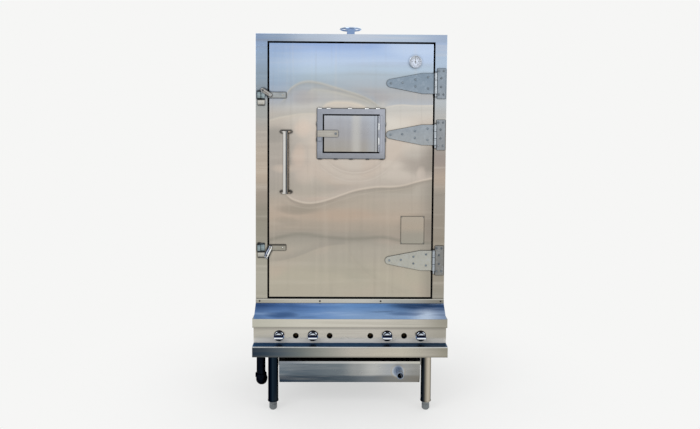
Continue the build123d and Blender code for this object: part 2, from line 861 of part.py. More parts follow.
# Drip pan: a tray with a folded rim, a full-width front plate and a drain spout
tub_half = pan_half - pan_rim_width
with BuildPart() as drip_pan:
    with BuildSketch(across(-tub_half)):
        with BuildLine():
            Polyline(
                (pan_front, pan_top),
                (pan_front, pan_face_bottom),
                (pan_front + pan_nose, pan_bottom),
                (pan_rear, pan_bottom),
                (pan_rear, pan_top),
                close=True,
            )
        make_face()
    extrude(amount=2 * tub_half)
    offset(amount=-pan_sheet, openings=drip_pan.faces().sort_by(Axis.Z)[-1])
    for side in (-1, 1):
        top_limits = sorted((side * tub_half, side * pan_half))
        block(top_limits, (pan_front, pan_rear), (pan_top - pan_sheet, pan_top))
        skirt = sorted((side * (pan_half - pan_sheet), side * pan_half))
        block(skirt, (pan_front, pan_rear), (pan_top - pan_rim_height, pan_top))
    band_height = pan_face_bottom - pan_bottom
    band_cut = pan_sheet * math.hypot(pan_nose, band_height) / band_height
    with BuildSketch(across(-pan_half)):
        with BuildLine():
            Polyline(
                (pan_front, pan_top),
                (pan_front, pan_face_bottom),
                (pan_front + pan_nose, pan_bottom),
                (pan_front + pan_nose + band_cut, pan_bottom),
                (pan_front + pan_sheet, pan_face_bottom),
                (pan_front + pan_sheet, pan_top),
                close=True,
            )
        make_face()
    extrude(amount=2 * pan_half)
    band = (pan_top - pan_rim_height, pan_top)
    block((-pan_half, pan_half), (pan_front - pan_sheet, pan_front), band)
    with BuildSketch(facing(pan_front)):
        with Locations((spout_x, spout_z)):
            Circle(spout_diameter / 2)
    extrude(amount=spout_length)
    with BuildSketch(facing(pan_front + 2 * pan_sheet)):
        with Locations((spout_x, spout_z)):
            Circle(spout_bore / 2)
    extrude(amount=spout_length + 2 * pan_sheet, mode=Mode.SUBTRACT)
save(drip_pan, "drip_pan")

# Pan runners: angles under the bearers, inside the legs
with BuildPart() as pan_runners:
    shelf_top = pan_top - pan_rim_height - runner_play
    web_in = pan_half + runner_side_play
    run = (pan_front + runner_front_gap, pan_rear + runner_overrun)
    for side in (-1, 1):
        web = sorted((side * web_in, side * (web_in + runner_sheet)))
        shelf = sorted((side * (tub_half + runner_tub_gap), side * (web_in + runner_sheet)))
        block(web, run, (shelf_top - runner_sheet, rail_low))
        block(shelf, run, (shelf_top - runner_sheet, shelf_top))
save(pan_runners, "pan_runners")

# Gas manifold behind the control panel, capped at its right end, on two feet that stand on the bearers
manifold_left = inlet_x + elbow_bend + pipe_play
manifold_right = outer_knob_x + manifold_tail
with BuildPart() as gas_manifold:
    with BuildSketch(across(manifold_left)):
        with Locations((manifold_y, manifold_z)):
            Circle(manifold_diameter / 2)
    extrude(amount=manifold_right - manifold_left)
    for side in (-1, 1):
        foot_x = (side * leg_x - manifold_foot / 2, side * leg_x + manifold_foot / 2)
        foot_y = (manifold_y - manifold_foot / 2, manifold_y + manifold_foot / 2)
        block(foot_x, foot_y, (rail_low + bearer_height, manifold_z))
    with BuildSketch(across(manifold_left)):
        with Locations((manifold_y, manifold_z)):
            Circle(manifold_diameter / 2 - manifold_wall)
    extrude(amount=manifold_right - manifold_left, mode=Mode.SUBTRACT)
    with BuildSketch(across(manifold_right)):
        with Locations((manifold_y, manifold_z)):
            Circle(manifold_diameter / 2 + manifold_wall)
    extrude(amount=manifold_cap)
save(gas_manifold, "gas_manifold")

# Gas inlet: a riser between two elbows, one into the manifold and the lower one open to the rear
riser_low = inlet_elbow_z + elbow_bend
riser_high = manifold_z - elbow_bend
inlet_place = (inlet_x, manifold_y)
inlet_inner = inlet_diameter / 2 - inlet_wall
lower_hub = Axis((inlet_x, manifold_y + elbow_bend, riser_low), (1, 0, 0))
upper_hub = Axis((inlet_x + elbow_bend, manifold_y, riser_high), (0, 1, 0))
with BuildPart() as gas_inlet:
    with BuildSketch(level(riser_low + pipe_play)):
        with Locations(inlet_place):
            Circle(inlet_diameter / 2)
            Circle(inlet_inner, mode=Mode.SUBTRACT)
    extrude(amount=riser_high - riser_low - 2 * pipe_play)
    for height, hub in ((riser_low, lower_hub), (riser_high, upper_hub)):
        with BuildSketch(level(height)):
            with Locations(inlet_place):
                Circle(elbow_body / 2)
                Circle(inlet_inner, mode=Mode.SUBTRACT)
        revolve(axis=hub, revolution_arc=90)
    for height in (riser_low, riser_high - elbow_band_length):
        with BuildSketch(level(height)):
            with Locations(inlet_place):
                Circle(elbow_band / 2)
                Circle(inlet_diameter / 2 + pipe_play, mode=Mode.SUBTRACT)
        extrude(amount=elbow_band_length)
    with BuildSketch(facing(manifold_y + elbow_bend)):
        with Locations((inlet_x, inlet_elbow_z)):
            Circle(elbow_band / 2)
            Circle(elbow_bore / 2, mode=Mode.SUBTRACT)
    extrude(amount=-elbow_band_length)
    with BuildSketch(across(inlet_x + elbow_bend)):
        with Locations((manifold_y, manifold_z)):
            Circle(elbow_outlet / 2)
            Circle(manifold_diameter / 2 + pipe_play, mode=Mode.SUBTRACT)
    extrude(amount=elbow_band_length)
save(gas_inlet, "gas_inlet")

# Gas valves behind the knobs and pilot valves behind the lighting ports, all on the manifold
valve_front = panel_front + frame_sheet + valve_setback
pilot_front = panel_front + frame_sheet + pilot_setback
with BuildPart() as gas_valves:
    with BuildSketch(facing(valve_front)):
        with Locations(*((place, knob_z) for place in knob_places)):
            Circle(valve_body / 2)
    extrude(amount=-valve_length)
    with BuildSketch(facing(valve_front + valve_length)):
        with Locations(*((place, knob_z) for place in knob_places)):
            Circle(orifice_body / 2)
    extrude(amount=-orifice_length)
    with BuildSketch(facing(pilot_front)):
        with Locations(*((place, knob_z) for place in port_places)):
            Circle(pilot_body / 2)
    extrude(amount=-pilot_length)
    with BuildSketch(level(knob_z)):
        with Locations(*((place, manifold_y) for place in knob_places)):
            Circle(valve_nipple / 2)
        with Locations(*((place, manifold_y) for place in port_places)):
            Circle(pilot_nipple / 2)
    extrude(amount=manifold_z - knob_z)
    with BuildSketch(across(-half_width)):
        with Locations((manifold_y, manifold_z)):
            Circle(manifold_diameter / 2 + valve_play)
    extrude(amount=cabinet_width, mode=Mode.SUBTRACT)
    with BuildSketch(facing(valve_front)):
        with Locations(*((place, knob_z) for place in knob_places)):
            Circle(stem_diameter / 2 + valve_play)
    extrude(amount=-stem_depth, mode=Mode.SUBTRACT)
save(gas_valves, "gas_valves")

# Burner knobs, each with its valve stem
knob_back = panel_front - knob_stand
knob_front = knob_back - knob_skirt - knob_body_depth
for number, place in enumerate(knob_places, start=1):
    with BuildPart() as knob:
        with BuildSketch(level(knob_z)):
            skirt = knob_diameter / 2
            body = knob_body / 2
            with BuildLine():
                Polyline(
                    (place, knob_back),
                    (place + skirt, knob_back),
                    (place + skirt, knob_back - knob_skirt / 2),
                    (place + body, knob_back - knob_skirt),
                    (place + body - knob_taper, knob_front + knob_body_depth / 3),
                    (place + body - knob_slope, knob_front),
                    (place, knob_front),
                    close=True,
                )
            make_face()
        revolve(axis=Axis((place, 0, knob_z), (0, 1, 0)))
        with BuildSketch(facing(knob_front + knob_body_depth / 2)):
            with Locations((place, knob_z)):
                SlotOverall(knob_grip_length, knob_grip)
        extrude(amount=knob_grip_depth)
        tip = knob.faces().sort_by(Axis.Y)[0]
        fillet(tip.edges(), radius=knob_grip_round)
        with BuildSketch(facing(knob_back)):
            with Locations((place, knob_z)):
                Circle(stem_diameter / 2)
        extrude(amount=-(valve_front + stem_depth - stem_end_gap - knob_back))
    save(knob, f"knob_{number}")

# Burners: four bar burners with a bell-mouthed mixer at the front
with BuildPart() as burners:
    for place in knob_places:
        with BuildSketch(level(knob_z)):
            outer = burner_diameter / 2
            throat = burner_throat / 2
            bell = burner_bell / 2
            with BuildLine():
                Polyline(
                    (place + bell, burner_front - burner_mixer),
                    (place + throat, burner_front - burner_mixer / 2),
                    (place + throat, burner_front),
                    (place + outer, burner_front + burner_mixer / 2),
                    (place + outer, burner_rear),
                    (place, burner_rear),
                    (place, burner_rear - burner_wall),
                    (place + outer - burner_wall, burner_rear - burner_wall),
                    (place + outer - burner_wall, burner_front + burner_mixer / 2),
                    (place + throat - burner_wall, burner_front),
                    (place + throat - burner_wall, burner_front - burner_mixer / 2),
                    (place + bell - burner_wall, burner_front - burner_mixer),
                    close=True,
                )
            make_face()
        revolve(axis=Axis((place, 0, knob_z), (0, 1, 0)))
    slots_y = (burner_front + burner_mixer / 2 + burner_rear) / 2
    with Locations(*((place, slots_y, knob_z + burner_slot_rise) for place in knob_places)):
        with GridLocations(1, burner_slot_pitch, 1, burner_slots):
            Box(burner_diameter, burner_slot_width, burner_slot_height, mode=Mode.SUBTRACT)
save(burners, "burners")

# Burner supports: two angles between the base sides
support_top = knob_z - burner_diameter / 2 - burner_seat
support_places = (support_front, support_rear)
side_face = half_width - outer_sheet
with BuildPart() as burner_supports:
    for place in support_places:
        flat = (place, place + support_width)
        web = (place, place + support_sheet)
        block((-side_face, side_face), flat, (support_top - support_sheet, support_top))
        block((-side_face, side_face), web, (support_top - support_height, support_top))
save(burner_supports, "burner_supports")

# Burner shields: a bent roof over each burner, on four tabs that stand on the supports
with BuildPart() as burner_shields:
    half = shield_width / 2
    shield_rise = shield_peak - shield_eave
    slant = math.hypot(half, shield_rise)
    cut_side = shield_sheet * slant / shield_rise
    cut_top = shield_sheet * slant / half
    with BuildSketch(facing(support_front)):
        for place in knob_places:
            with BuildLine():
                Polyline(
                    (place - half, shield_eave),
                    (place, shield_peak),
                    (place + half, shield_eave),
                    (place + half - cut_side, shield_eave),
                    (place, shield_peak - cut_top),
                    (place - half + cut_side, shield_eave),
                    close=True,
                )
            make_face()
    extrude(amount=-(support_rear + support_width - support_front))
    with BuildSketch(level(support_top)):
        for place in knob_places:
            for side in (-1, 1):
                for start in support_places:
                    edge = place + side * (half - shield_sheet / 2)
                    with Locations((edge, start + support_width / 2)):
                        Rectangle(shield_sheet, shield_tab)
    extrude(amount=shield_eave - support_top)
save(burner_shields, "burner_shields")

# Wood chip tray across the two inner shields
tray_low = shield_peak + tray_seat
with BuildPart() as chip_tray:
    half = inner_knob_x + tray_overhang
    block((-half, half), (tray_front, tray_front + tray_depth), (tray_low, tray_low + tray_height))
    offset(amount=-tray_sheet, openings=chip_tray.faces().sort_by(Axis.Z)[-1])
save(chip_tray, "chip_tray")

# Main door: folded front sheet, core and inner sheet, all open where the hatch goes through
sleeve_half = hatch_width / 2 + hatch_gap + hatch_sleeve
sleeve_rise = hatch_height / 2 + hatch_gap + hatch_sleeve
hole_half = sleeve_half + hatch_play
hole_rise = sleeve_rise + hatch_play
hatch_hole = ((-hole_half, hole_half), (hatch_centre - hole_rise, hatch_centre + hole_rise))
door_span = ((-door_half, door_half), (door_low, door_high))
with BuildPart() as door_skin:
    with BuildSketch(facing(face_y)):
        patch(*door_span)
        fillet(vertices(), radius=door_corner)
    extrude(amount=-(door_thickness - door_sheet))
    round_front(door_skin, door_fold)
    offset(amount=-door_sheet, openings=door_skin.faces().sort_by(Axis.Y)[-1])
    with BuildSketch(facing(face_y)):
        patch(*hatch_hole)
        with Locations((gauge_x, gauge_z)):
            Circle(gauge_stem_hole / 2)
    extrude(amount=-2 * door_sheet, mode=Mode.SUBTRACT)
save(door_skin, "door_skin")

core_inset = door_sheet + door_corner
with BuildPart() as door_core:
    with BuildSketch(facing(face_y + door_sheet + side_seat)):
        core_side = door_half - core_inset
        patch((-core_side, core_side), (door_low + core_inset, door_high - core_inset))
        patch(*hatch_hole, Mode.SUBTRACT)
        with Locations((gauge_x, gauge_z)):
            Circle(gauge_stem_hole / 2, mode=Mode.SUBTRACT)
    extrude(amount=-(door_thickness - 2 * door_sheet - 2 * side_seat))
save(door_core, "door_core")

with BuildPart() as door_liner:
    with BuildSketch(facing(door_back)):
        patch(*door_span)
        patch(*hatch_hole, Mode.SUBTRACT)
        with Locations((gauge_x, gauge_z)):
            Circle(gauge_stem_hole / 2, mode=Mode.SUBTRACT)
    extrude(amount=door_sheet)
save(door_liner, "door_liner")

# Strap hinges: the strap carries the outer knuckles, the plate the middle one, a pin goes through
barrel = hinge_barrel / 2
barrel_height = hinge_root
strap_edge = hinge_x - barrel - hinge_shy
plate_edge = hinge_x + barrel + hinge_shy
middle = barrel_height / 2 - hinge_knuckle
with BuildPart() as hinge_straps:
    for height in hinge_heights:
        half = barrel_height / 2
        tip_x = hinge_x - hinge_length + hinge_tip
        lean = math.asin((half - hinge_tip) / (strap_edge - hinge_shoulder - tip_x))
        rise = hinge_tip * math.cos(lean)
        drift = hinge_tip * math.sin(lean)
        with BuildSketch(facing(face_y)):
            with BuildLine():
                Polyline(
                    (tip_x - drift, height + rise),
                    (strap_edge - hinge_shoulder, height + half),
                    (strap_edge, height + half),
                    (strap_edge, height - half),
                    (strap_edge - hinge_shoulder, height - half),
                    (tip_x - drift, height - rise),
                )
                ThreePointArc(
                    (tip_x - drift, height - rise),
                    (tip_x - hinge_tip, height),
                    (tip_x - drift, height + rise),
                )
            make_face()
            patch((strap_edge, hinge_x), (height + middle, height + half))
            patch((strap_edge, hinge_x), (height - half, height - middle))
        extrude(amount=hinge_sheet)
        for low in (height - half, height + middle):
            with BuildSketch(level(low)):
                with Locations((hinge_x, hinge_y)):
                    Circle(barrel)
            extrude(amount=hinge_knuckle)
        with BuildSketch(level(height - half)):
            with Locations((hinge_x, hinge_y)):
                Circle(hinge_pin / 2 + hinge_play)
        extrude(amount=barrel_height, mode=Mode.SUBTRACT)
save(hinge_straps, "hinge_straps")

with BuildPart() as hinge_plates:
    for height in hinge_heights:
        half = hinge_plate_height / 2
        knuckle_half = middle - knuckle_gap
        with BuildSketch(facing(face_y)):
            patch((plate_edge, plate_edge + hinge_plate_width), (height - half, height + half))
            patch((hinge_x, plate_edge), (height - knuckle_half, height + knuckle_half))
        extrude(amount=hinge_sheet)
        with BuildSketch(level(height - knuckle_half)):
            with Locations((hinge_x, hinge_y)):
                Circle(barrel)
        extrude(amount=2 * knuckle_half)
        with BuildSketch(level(height - knuckle_half)):
            with Locations((hinge_x, hinge_y)):
                Circle(hinge_pin / 2 + hinge_play)
        extrude(amount=2 * knuckle_half, mode=Mode.SUBTRACT)
save(hinge_plates, "hinge_plates")

with BuildPart() as hinge_pins:
    for height in hinge_heights:
        with BuildSketch(level(height - barrel_height / 2 - hinge_pin_tail)):
            with Locations((hinge_x, hinge_y)):
                Circle(hinge_pin / 2)
        extrude(amount=barrel_height + hinge_pin_tail + side_seat)
        with BuildSketch(level(height + barrel_height / 2 + side_seat)):
            with Locations((hinge_x, hinge_y)):
                Circle(hinge_pin_head / 2)
        extrude(amount=hinge_pin_cap)
save(hinge_pins, "hinge_pins")

# Swing latches: a strap with a pivot stud on the door, a chrome arm, and a keeper on the stile
latch_x = -(door_half - latch_pivot_inset)
strap_left = latch_x - latch_strap_end
strap_right = strap_left + latch_strap_length
arm_back = face_y - latch_strap_sheet - latch_clearance
arm_front = arm_back - latch_bar
stud_front = arm_front - latch_clearance - latch_head_depth
with BuildPart() as latch_straps:
    for height in latch_heights:
        half = latch_strap_height / 2
        with BuildSketch(facing(face_y)):
            patch((strap_left, strap_right), (height - half, height + half))
            with Locations((strap_right - latch_hole_inset, height)):
                Circle(latch_hole / 2, mode=Mode.SUBTRACT)
        extrude(amount=latch_strap_sheet)
        with BuildSketch(facing(face_y)):
            with Locations((latch_x, height)):
                Circle(latch_pin / 2)
        extrude(amount=face_y - stud_front)
        with BuildSketch(facing(stud_front)):
            with Locations((latch_x, height)):
                Circle(latch_head / 2)
        extrude(amount=-latch_head_depth)
save(latch_straps, "latch_straps")

for name, height, angle in zip(("latch_arm_lower", "latch_arm_upper"), latch_heights, latch_rest_angles):
    with BuildPart() as latch_arm_part:
        lean = math.radians(angle)
        end = (latch_x - latch_arm * math.cos(lean), height - latch_arm * math.sin(lean))
        with BuildSketch(facing(arm_back)):
            with Locations((latch_x, height)):
                Circle(latch_hub / 2)
            with Locations(end):
                Circle(latch_eye / 2)
            make_hull()
        extrude(amount=latch_bar)
        fillet(latch_arm_part.faces().filter_by(Axis.Y).edges(), radius=latch_round)
        with BuildSketch(facing(arm_back)):
            with Locations((latch_x, height)):
                Circle(latch_pin / 2 + latch_play)
            with Locations(end):
                Circle(latch_ring_hole / 2)
        extrude(amount=latch_bar, mode=Mode.SUBTRACT)
    save(latch_arm_part, name)

keeper_left = -half_width + keeper_inset
lip_back = arm_front - keeper_room
lip_front = lip_back - keeper_sheet
with BuildPart() as latch_keepers:
    for height in latch_heights:
        low = height - keeper_height / 2
        span = (low, low + keeper_height)
        block((keeper_left, keeper_left + keeper_width), (face_y - keeper_sheet, face_y), span)
        block((keeper_left, keeper_left + keeper_sheet), (lip_front, face_y), span)
        block((keeper_left, keeper_left + keeper_lip), (lip_front, lip_back), span)
        foot_span = (low - keeper_foot, low)
        block((keeper_left, keeper_left + keeper_width), (face_y - keeper_foot_thickness, face_y), foot_span)
save(latch_keepers, "latch_keepers")

# Pull handle: a round bar between two flat brackets
with BuildPart() as door_handle:
    bar_y = face_y - handle_stand
    with BuildSketch(level(handle_low)):
        with Locations((handle_x, bar_y)):
            Circle(handle_bar / 2)
    extrude(amount=handle_high - handle_low)
    for low in (handle_low - handle_bracket, handle_high):
        with BuildSketch(level(low)):
            nose = handle_bar / 2 + handle_overhang
            wide = handle_bracket_width / 2
            with BuildLine():
                Polyline(
                    (handle_x - nose, bar_y),
                    (handle_x - wide, face_y),
                    (handle_x + wide, face_y),
                    (handle_x + nose, bar_y),
                )
                ThreePointArc(
                    (handle_x + nose, bar_y),
                    (handle_x, bar_y - nose),
                    (handle_x - nose, bar_y),
                )
            make_face()
        extrude(amount=handle_bracket)
save(door_handle, "door_handle")

# Rating plate, left bare
with BuildPart() as rating_plate:
    plate_z = (plate_bottom, plate_bottom + plate_height)
    block((plate_left, plate_left + plate_width), (face_y - plate_sheet, face_y), plate_z)
save(rating_plate, "rating_plate")

# Dial thermometer: case with its stem through the door, dial, pointer and glass
floor_y = face_y - gauge_floor
glass_back = face_y - gauge_depth + gauge_lip + gauge_glass
with BuildPart() as thermometer_case:
    with BuildSketch(level(gauge_z)):
        outer = gauge_diameter / 2
        inner = outer - gauge_wall
        front = face_y - gauge_depth
        patch((gauge_x, gauge_x + outer), (front, face_y))
        fillet(vertices().group_by(Axis.X)[-1].sort_by(Axis.Y)[0], radius=gauge_edge)
        patch((gauge_x, gauge_x + inner), (front + gauge_lip, floor_y), Mode.SUBTRACT)
        patch((gauge_x, gauge_x + inner - gauge_lip), (front, floor_y), Mode.SUBTRACT)
        patch((gauge_x, gauge_x + gauge_stem / 2), (floor_y, face_y + gauge_stem_length))
        shaft_bore = gauge_pivot / 2 + gauge_shaft_play
        patch((gauge_x, gauge_x + shaft_bore), (floor_y, face_y), Mode.SUBTRACT)
    revolve(axis=Axis((gauge_x, 0, gauge_z), (0, 1, 0)))
save(thermometer_case, "thermometer_case")

with BuildPart() as thermometer_dial:
    with BuildSketch(facing(floor_y)):
        with Locations((gauge_x, gauge_z)):
            Circle(gauge_diameter / 2 - gauge_wall - gauge_play)
            Circle(gauge_pivot / 2 + gauge_play, mode=Mode.SUBTRACT)
    extrude(amount=gauge_dial_sheet)
save(thermometer_dial, "thermometer_dial")

pointer_back = floor_y - gauge_dial_sheet - gauge_pointer_gap
with BuildPart() as thermometer_pointer:
    with BuildSketch(facing(pointer_back)):
        with BuildLine():
            Polyline(
                (gauge_x - gauge_pivot / 2, gauge_z - gauge_pointer_tail),
                (gauge_x + gauge_pivot / 2, gauge_z - gauge_pointer_tail),
                (gauge_x + gauge_pivot / 4, gauge_z + gauge_pointer_length),
                (gauge_x - gauge_pivot / 4, gauge_z + gauge_pointer_length),
                close=True,
            )
        make_face()
        with Locations((gauge_x, gauge_z)):
            Circle(gauge_pivot)
    extrude(amount=gauge_pointer_sheet)
    with BuildSketch(facing(pointer_back)):
        with Locations((gauge_x, gauge_z)):
            Circle(gauge_pivot / 2)
    extrude(amount=-(gauge_pointer_gap + gauge_dial_sheet + gauge_floor / 2))
save(thermometer_pointer, "thermometer_pointer")

with BuildPart() as thermometer_glass:
    with BuildSketch(facing(glass_back)):
        with Locations((gauge_x, gauge_z)):
            Circle(gauge_diameter / 2 - gauge_wall - gauge_glass_play)
    extrude(amount=gauge_glass - gauge_glass_play)
save(thermometer_glass, "thermometer_glass")

# Inspection hatch: a frame with its sleeve through the door, its hinge knuckles and the catch
hatch_face = face_y - hatch_flange_sheet
hatch_back = hatch_face + hatch_thickness
flange_rise = hatch_height / 2 + hatch_gap + hatch_flange
clear_half = hatch_width / 2 + hatch_gap
clear_rise = hatch_height / 2 + hatch_gap
hatch_clear = ((-clear_half, clear_half), (hatch_centre - clear_rise, hatch_centre + clear_rise))
hatch_axis_x = hatch_width / 2 + hatch_gap / 2
hatch_axis_y = hatch_face - hatch_barrel / 2 - hatch_leaf_lift
hatch_low = hatch_centre - hatch_height / 2
knuckle_pitch = hatch_height / hatch_knuckles
knuckle_length = knuckle_pitch - hatch_knuckle_gap
leaf_shy = hatch_barrel / 2 + hatch_leaf_gap


def hinge_leaf(first, edge, side):
    """One leaf of the piano hinge: every second knuckle from the first, joined to a flat leaf."""
    leaf = sorted((hatch_axis_x + side * leaf_shy, edge))
    block(leaf, (hatch_face - hatch_leaf, hatch_face), (hatch_low, hatch_low + hatch_height))
    for step in range(first, hatch_knuckles, 2):
        low = hatch_low + step * knuckle_pitch + hatch_knuckle_gap / 2
        web = sorted((hatch_axis_x, hatch_axis_x + side * leaf_shy))
        block(web, (hatch_face - hatch_leaf, hatch_face - hatch_leaf_lift), (low, low + knuckle_length))
        with Locations((hatch_axis_x, hatch_axis_y, low + knuckle_length / 2)):
            Cylinder(hatch_barrel / 2, knuckle_length)


latch_front = hatch_face - hatch_latch_washer - hatch_latch_gap - hatch_latch_sheet
catch_lip_back = latch_front - catch_play
swing = math.radians(hatch_latch_drop)
corner_fall = hatch_latch_length * math.sin(swing) + hatch_latch_height / 2 * math.cos(swing)
catch_floor = hatch_centre - corner_fall - catch_play
catch_top = hatch_centre - hatch_latch_height / 2 - catch_top_gap
catch_left = hatch_latch_x - hatch_latch_length
with BuildPart() as hatch_frame:
    with BuildSketch(facing(hatch_face)):
        patch((-flange_half, flange_half), (hatch_centre - flange_rise, hatch_centre + flange_rise))
        patch(*hatch_clear, Mode.SUBTRACT)
    extrude(amount=-hatch_flange_sheet)
    round_front(hatch_frame, fold_round)
    with BuildSketch(facing(face_y)):
        patch((-sleeve_half, sleeve_half), (hatch_centre - sleeve_rise, hatch_centre + sleeve_rise))
        patch(*hatch_clear, Mode.SUBTRACT)
    extrude(amount=-door_thickness)
    with BuildSketch(facing(hatch_back + hatch_play)):
        patch(*hatch_clear)
        inner = clear_half - hatch_stop
        rise = clear_rise - hatch_stop
        patch((-inner, inner), (hatch_centre - rise, hatch_centre + rise), Mode.SUBTRACT)
    extrude(amount=-hatch_sleeve)
    hinge_leaf(0, hatch_axis_x + hatch_leaf_width, 1)
    with Locations((hatch_axis_x, hatch_axis_y, hatch_centre)):
        Cylinder(hatch_pin / 2, hatch_height)
    catch = (catch_left, catch_left + catch_width)
    block(catch, (hatch_face - catch_sheet, hatch_face), (catch_floor - catch_sheet, catch_top))
    block(catch, (catch_lip_back - catch_lip, hatch_face), (catch_floor - catch_sheet, catch_floor))
    block(catch, (catch_lip_back - catch_lip, catch_lip_back), (catch_floor - catch_sheet, catch_top))
save(hatch_frame, "hatch_frame")

# Small hatch door with its hinge leaf and the stud that carries the latch strap
with BuildPart() as hatch_door:
    hatch_half = hatch_width / 2
    block((-hatch_half, hatch_half), (hatch_face, hatch_back), (hatch_low, hatch_low + hatch_height))
    round_front(hatch_door, fold_round)
    hinge_leaf(1, hatch_axis_x - hatch_leaf_width, -1)
    with Locations((hatch_axis_x, hatch_axis_y, hatch_centre)):
        Cylinder(hatch_pin / 2 + hinge_play, 2 * hatch_height, mode=Mode.SUBTRACT)
    stud = (hatch_latch_x, hatch_centre)
    with BuildSketch(facing(hatch_face)):
        with Locations(stud):
            Circle(hatch_latch_head / 2)
    extrude(amount=hatch_latch_washer)
    with BuildSketch(facing(hatch_face)):
        with Locations(stud):
            Circle(hatch_latch_pin / 2)
    head_back = latch_front - hatch_latch_gap
    extrude(amount=hatch_face - head_back + hatch_latch_head_depth / 2)
    with BuildSketch(facing(head_back)):
        with Locations(stud):
            Circle(hatch_latch_head / 2)
    extrude(amount=hatch_latch_head_depth)
save(hatch_door, "hatch_door")

with BuildPart() as hatch_latch:
    with BuildSketch(facing(latch_front + hatch_latch_sheet)):
        half = hatch_latch_height / 2
        patch((catch_left, hatch_latch_x + hatch_latch_end), (hatch_centre - half, hatch_centre + half))
        fillet(vertices(), radius=hatch_latch_corner)
        with Locations(stud):
            Circle(hatch_latch_pin / 2 + hinge_play, mode=Mode.SUBTRACT)
    extrude(amount=hatch_latch_sheet)
save(hatch_latch, "hatch_latch")
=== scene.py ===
# %% [markdown]
# # A gas smoker oven
# The oven is a tall insulated cabinet of polished stainless sheet on a burner base. Its solids were
# made in CAD and packed, so this lesson starts from that frame and gives it its looks: finishes for
# every sheet and casting, and the small things that a CAD model leaves out, such as screws, weld
# beads, the numbers on the dial and the split rings on the latches.

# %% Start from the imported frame
import math

import bpy
from mathutils import Matrix, Vector


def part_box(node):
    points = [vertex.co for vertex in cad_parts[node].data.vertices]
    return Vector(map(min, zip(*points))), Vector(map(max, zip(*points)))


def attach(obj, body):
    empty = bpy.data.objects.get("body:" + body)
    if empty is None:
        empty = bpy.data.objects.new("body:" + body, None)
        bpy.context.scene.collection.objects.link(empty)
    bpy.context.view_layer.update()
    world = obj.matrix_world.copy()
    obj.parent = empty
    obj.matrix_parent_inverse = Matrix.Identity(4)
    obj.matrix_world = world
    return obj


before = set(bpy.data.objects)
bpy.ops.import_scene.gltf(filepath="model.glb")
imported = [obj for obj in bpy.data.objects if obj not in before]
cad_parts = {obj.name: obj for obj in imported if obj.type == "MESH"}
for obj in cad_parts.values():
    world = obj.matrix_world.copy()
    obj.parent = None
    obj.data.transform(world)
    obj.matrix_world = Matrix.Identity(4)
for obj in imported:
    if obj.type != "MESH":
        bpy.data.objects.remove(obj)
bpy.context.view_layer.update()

# %% [markdown]
# ## The view
# The camera stands 3.1 m in front of the door, at chest height, and looks a little down. The oven sits
# high in the picture. A vertical lens shift gives that, because turning the camera instead would make
# the cabinet's upright edges lean.

# %% Camera
camera_data = bpy.data.cameras.new("camera")
camera_data.lens = 33.12
camera_data.sensor_width = 36.0
camera_data.shift_x = 0.0022
camera_data.shift_y = -0.0865
camera_data.clip_start = 0.05
camera_data.clip_end = 60.0
camera = bpy.data.objects.new("camera", camera_data)
bpy.context.scene.collection.objects.link(camera)
yaw, pitch, roll = math.radians(0.84), math.radians(2.81), math.radians(0.376)
look = Vector((math.sin(yaw) * math.cos(pitch), math.cos(yaw) * math.cos(pitch), -math.sin(pitch)))
turn = look.to_track_quat("-Z", "Y").to_matrix().to_4x4() @ Matrix.Rotation(roll, 4, "Z")
camera.matrix_world = Matrix.Translation((-0.0573, -3.348, 1.378)) @ turn
bpy.context.scene.camera = camera
print("camera at", [round(v, 3) for v in camera.location])

# %% [markdown]
# ## Places read from the frame
# Screws, marks and finishes follow the CAD pieces. Some of their places are read from the boxes of the packed
# nodes, so those stay right if the oven is made wider or taller; the hinge, latch and dial places are given as
# numbers.

# %% Places
door_low, door_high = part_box("door_skin")
cabinet_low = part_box("face_frame")[0]
strap_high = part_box("hinge_straps")[1]
plate_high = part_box("hinge_plates")[1]
hatch_low, hatch_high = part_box("hatch_door")
face_y = cabinet_low.y
door_half = door_high.x
hinge_axis, hinge_heights = 0.403, (0.711, 1.320, 1.566)
latch_pivot, latch_heights = -0.386, (0.772, 1.506)
dial_centre = (0.305, 1.668)
print("door:", round(2 * door_half, 3), "m wide,", round(door_high.z - door_low.z, 3), "m tall")

# %% [markdown]
# ## Colours and nodes
# A finish is a Principled shader with a few nodes in front of it. Small helpers keep each recipe
# short. All of them add their nodes to the tree on the bench, which is that of the material started
# last. Values that are the same all over a surface go straight on the shader.

# %% Helpers for materials
def colour(text):
    """A written sRGB colour such as b0a898 as linear red, green, blue and alpha."""
    channels = [int(text[i:i + 2], 16) / 255 for i in (0, 2, 4)]
    return [c / 12.92 if c <= 0.04045 else ((c + 0.055) / 1.055) ** 2.4 for c in channels] + [1.0]


def use(new_tree):
    """Puts another node tree on the bench."""
    global tree
    tree = new_tree


def start(name, base, metallic=0.0, roughness=0.5):
    """A new material on the bench, with its shader."""
    global material, shader
    material = bpy.data.materials.new(name)
    material.use_nodes = True
    use(material.node_tree)
    shader = tree.nodes["Principled BSDF"]
    put("Base Color", base)
    put("Metallic", metallic)
    put("Roughness", roughness)
    material.diffuse_color = colour(base)
    return material


def fill(socket, value):
    """Gives a socket a plain value, a written colour or another node's output."""
    if isinstance(value, bpy.types.NodeSocket):
        tree.links.new(value, socket)
    else:
        socket.default_value = colour(value) if isinstance(value, str) else value


def put(name, value):
    """Fills one of the shader's sockets."""
    fill(shader.inputs[name], value)


def add(kind, inputs=None, **settings):
    """A node of that kind, with its sockets filled."""
    node = tree.nodes.new(kind)
    for key, value in settings.items():
        setattr(node, key, value)
    for key, value in (inputs or {}).items():
        fill(node.inputs[key], value)
    return node


def calculate(operation, first, second=0.0):
    """One sum, product or comparison, with its result."""
    return add("ShaderNodeMath", {0: first, 1: second}, operation=operation).outputs[0]


def times(first, *others):
    """The product of two or more values."""
    for other in others:
        first = calculate("MULTIPLY", first, other)
    return first


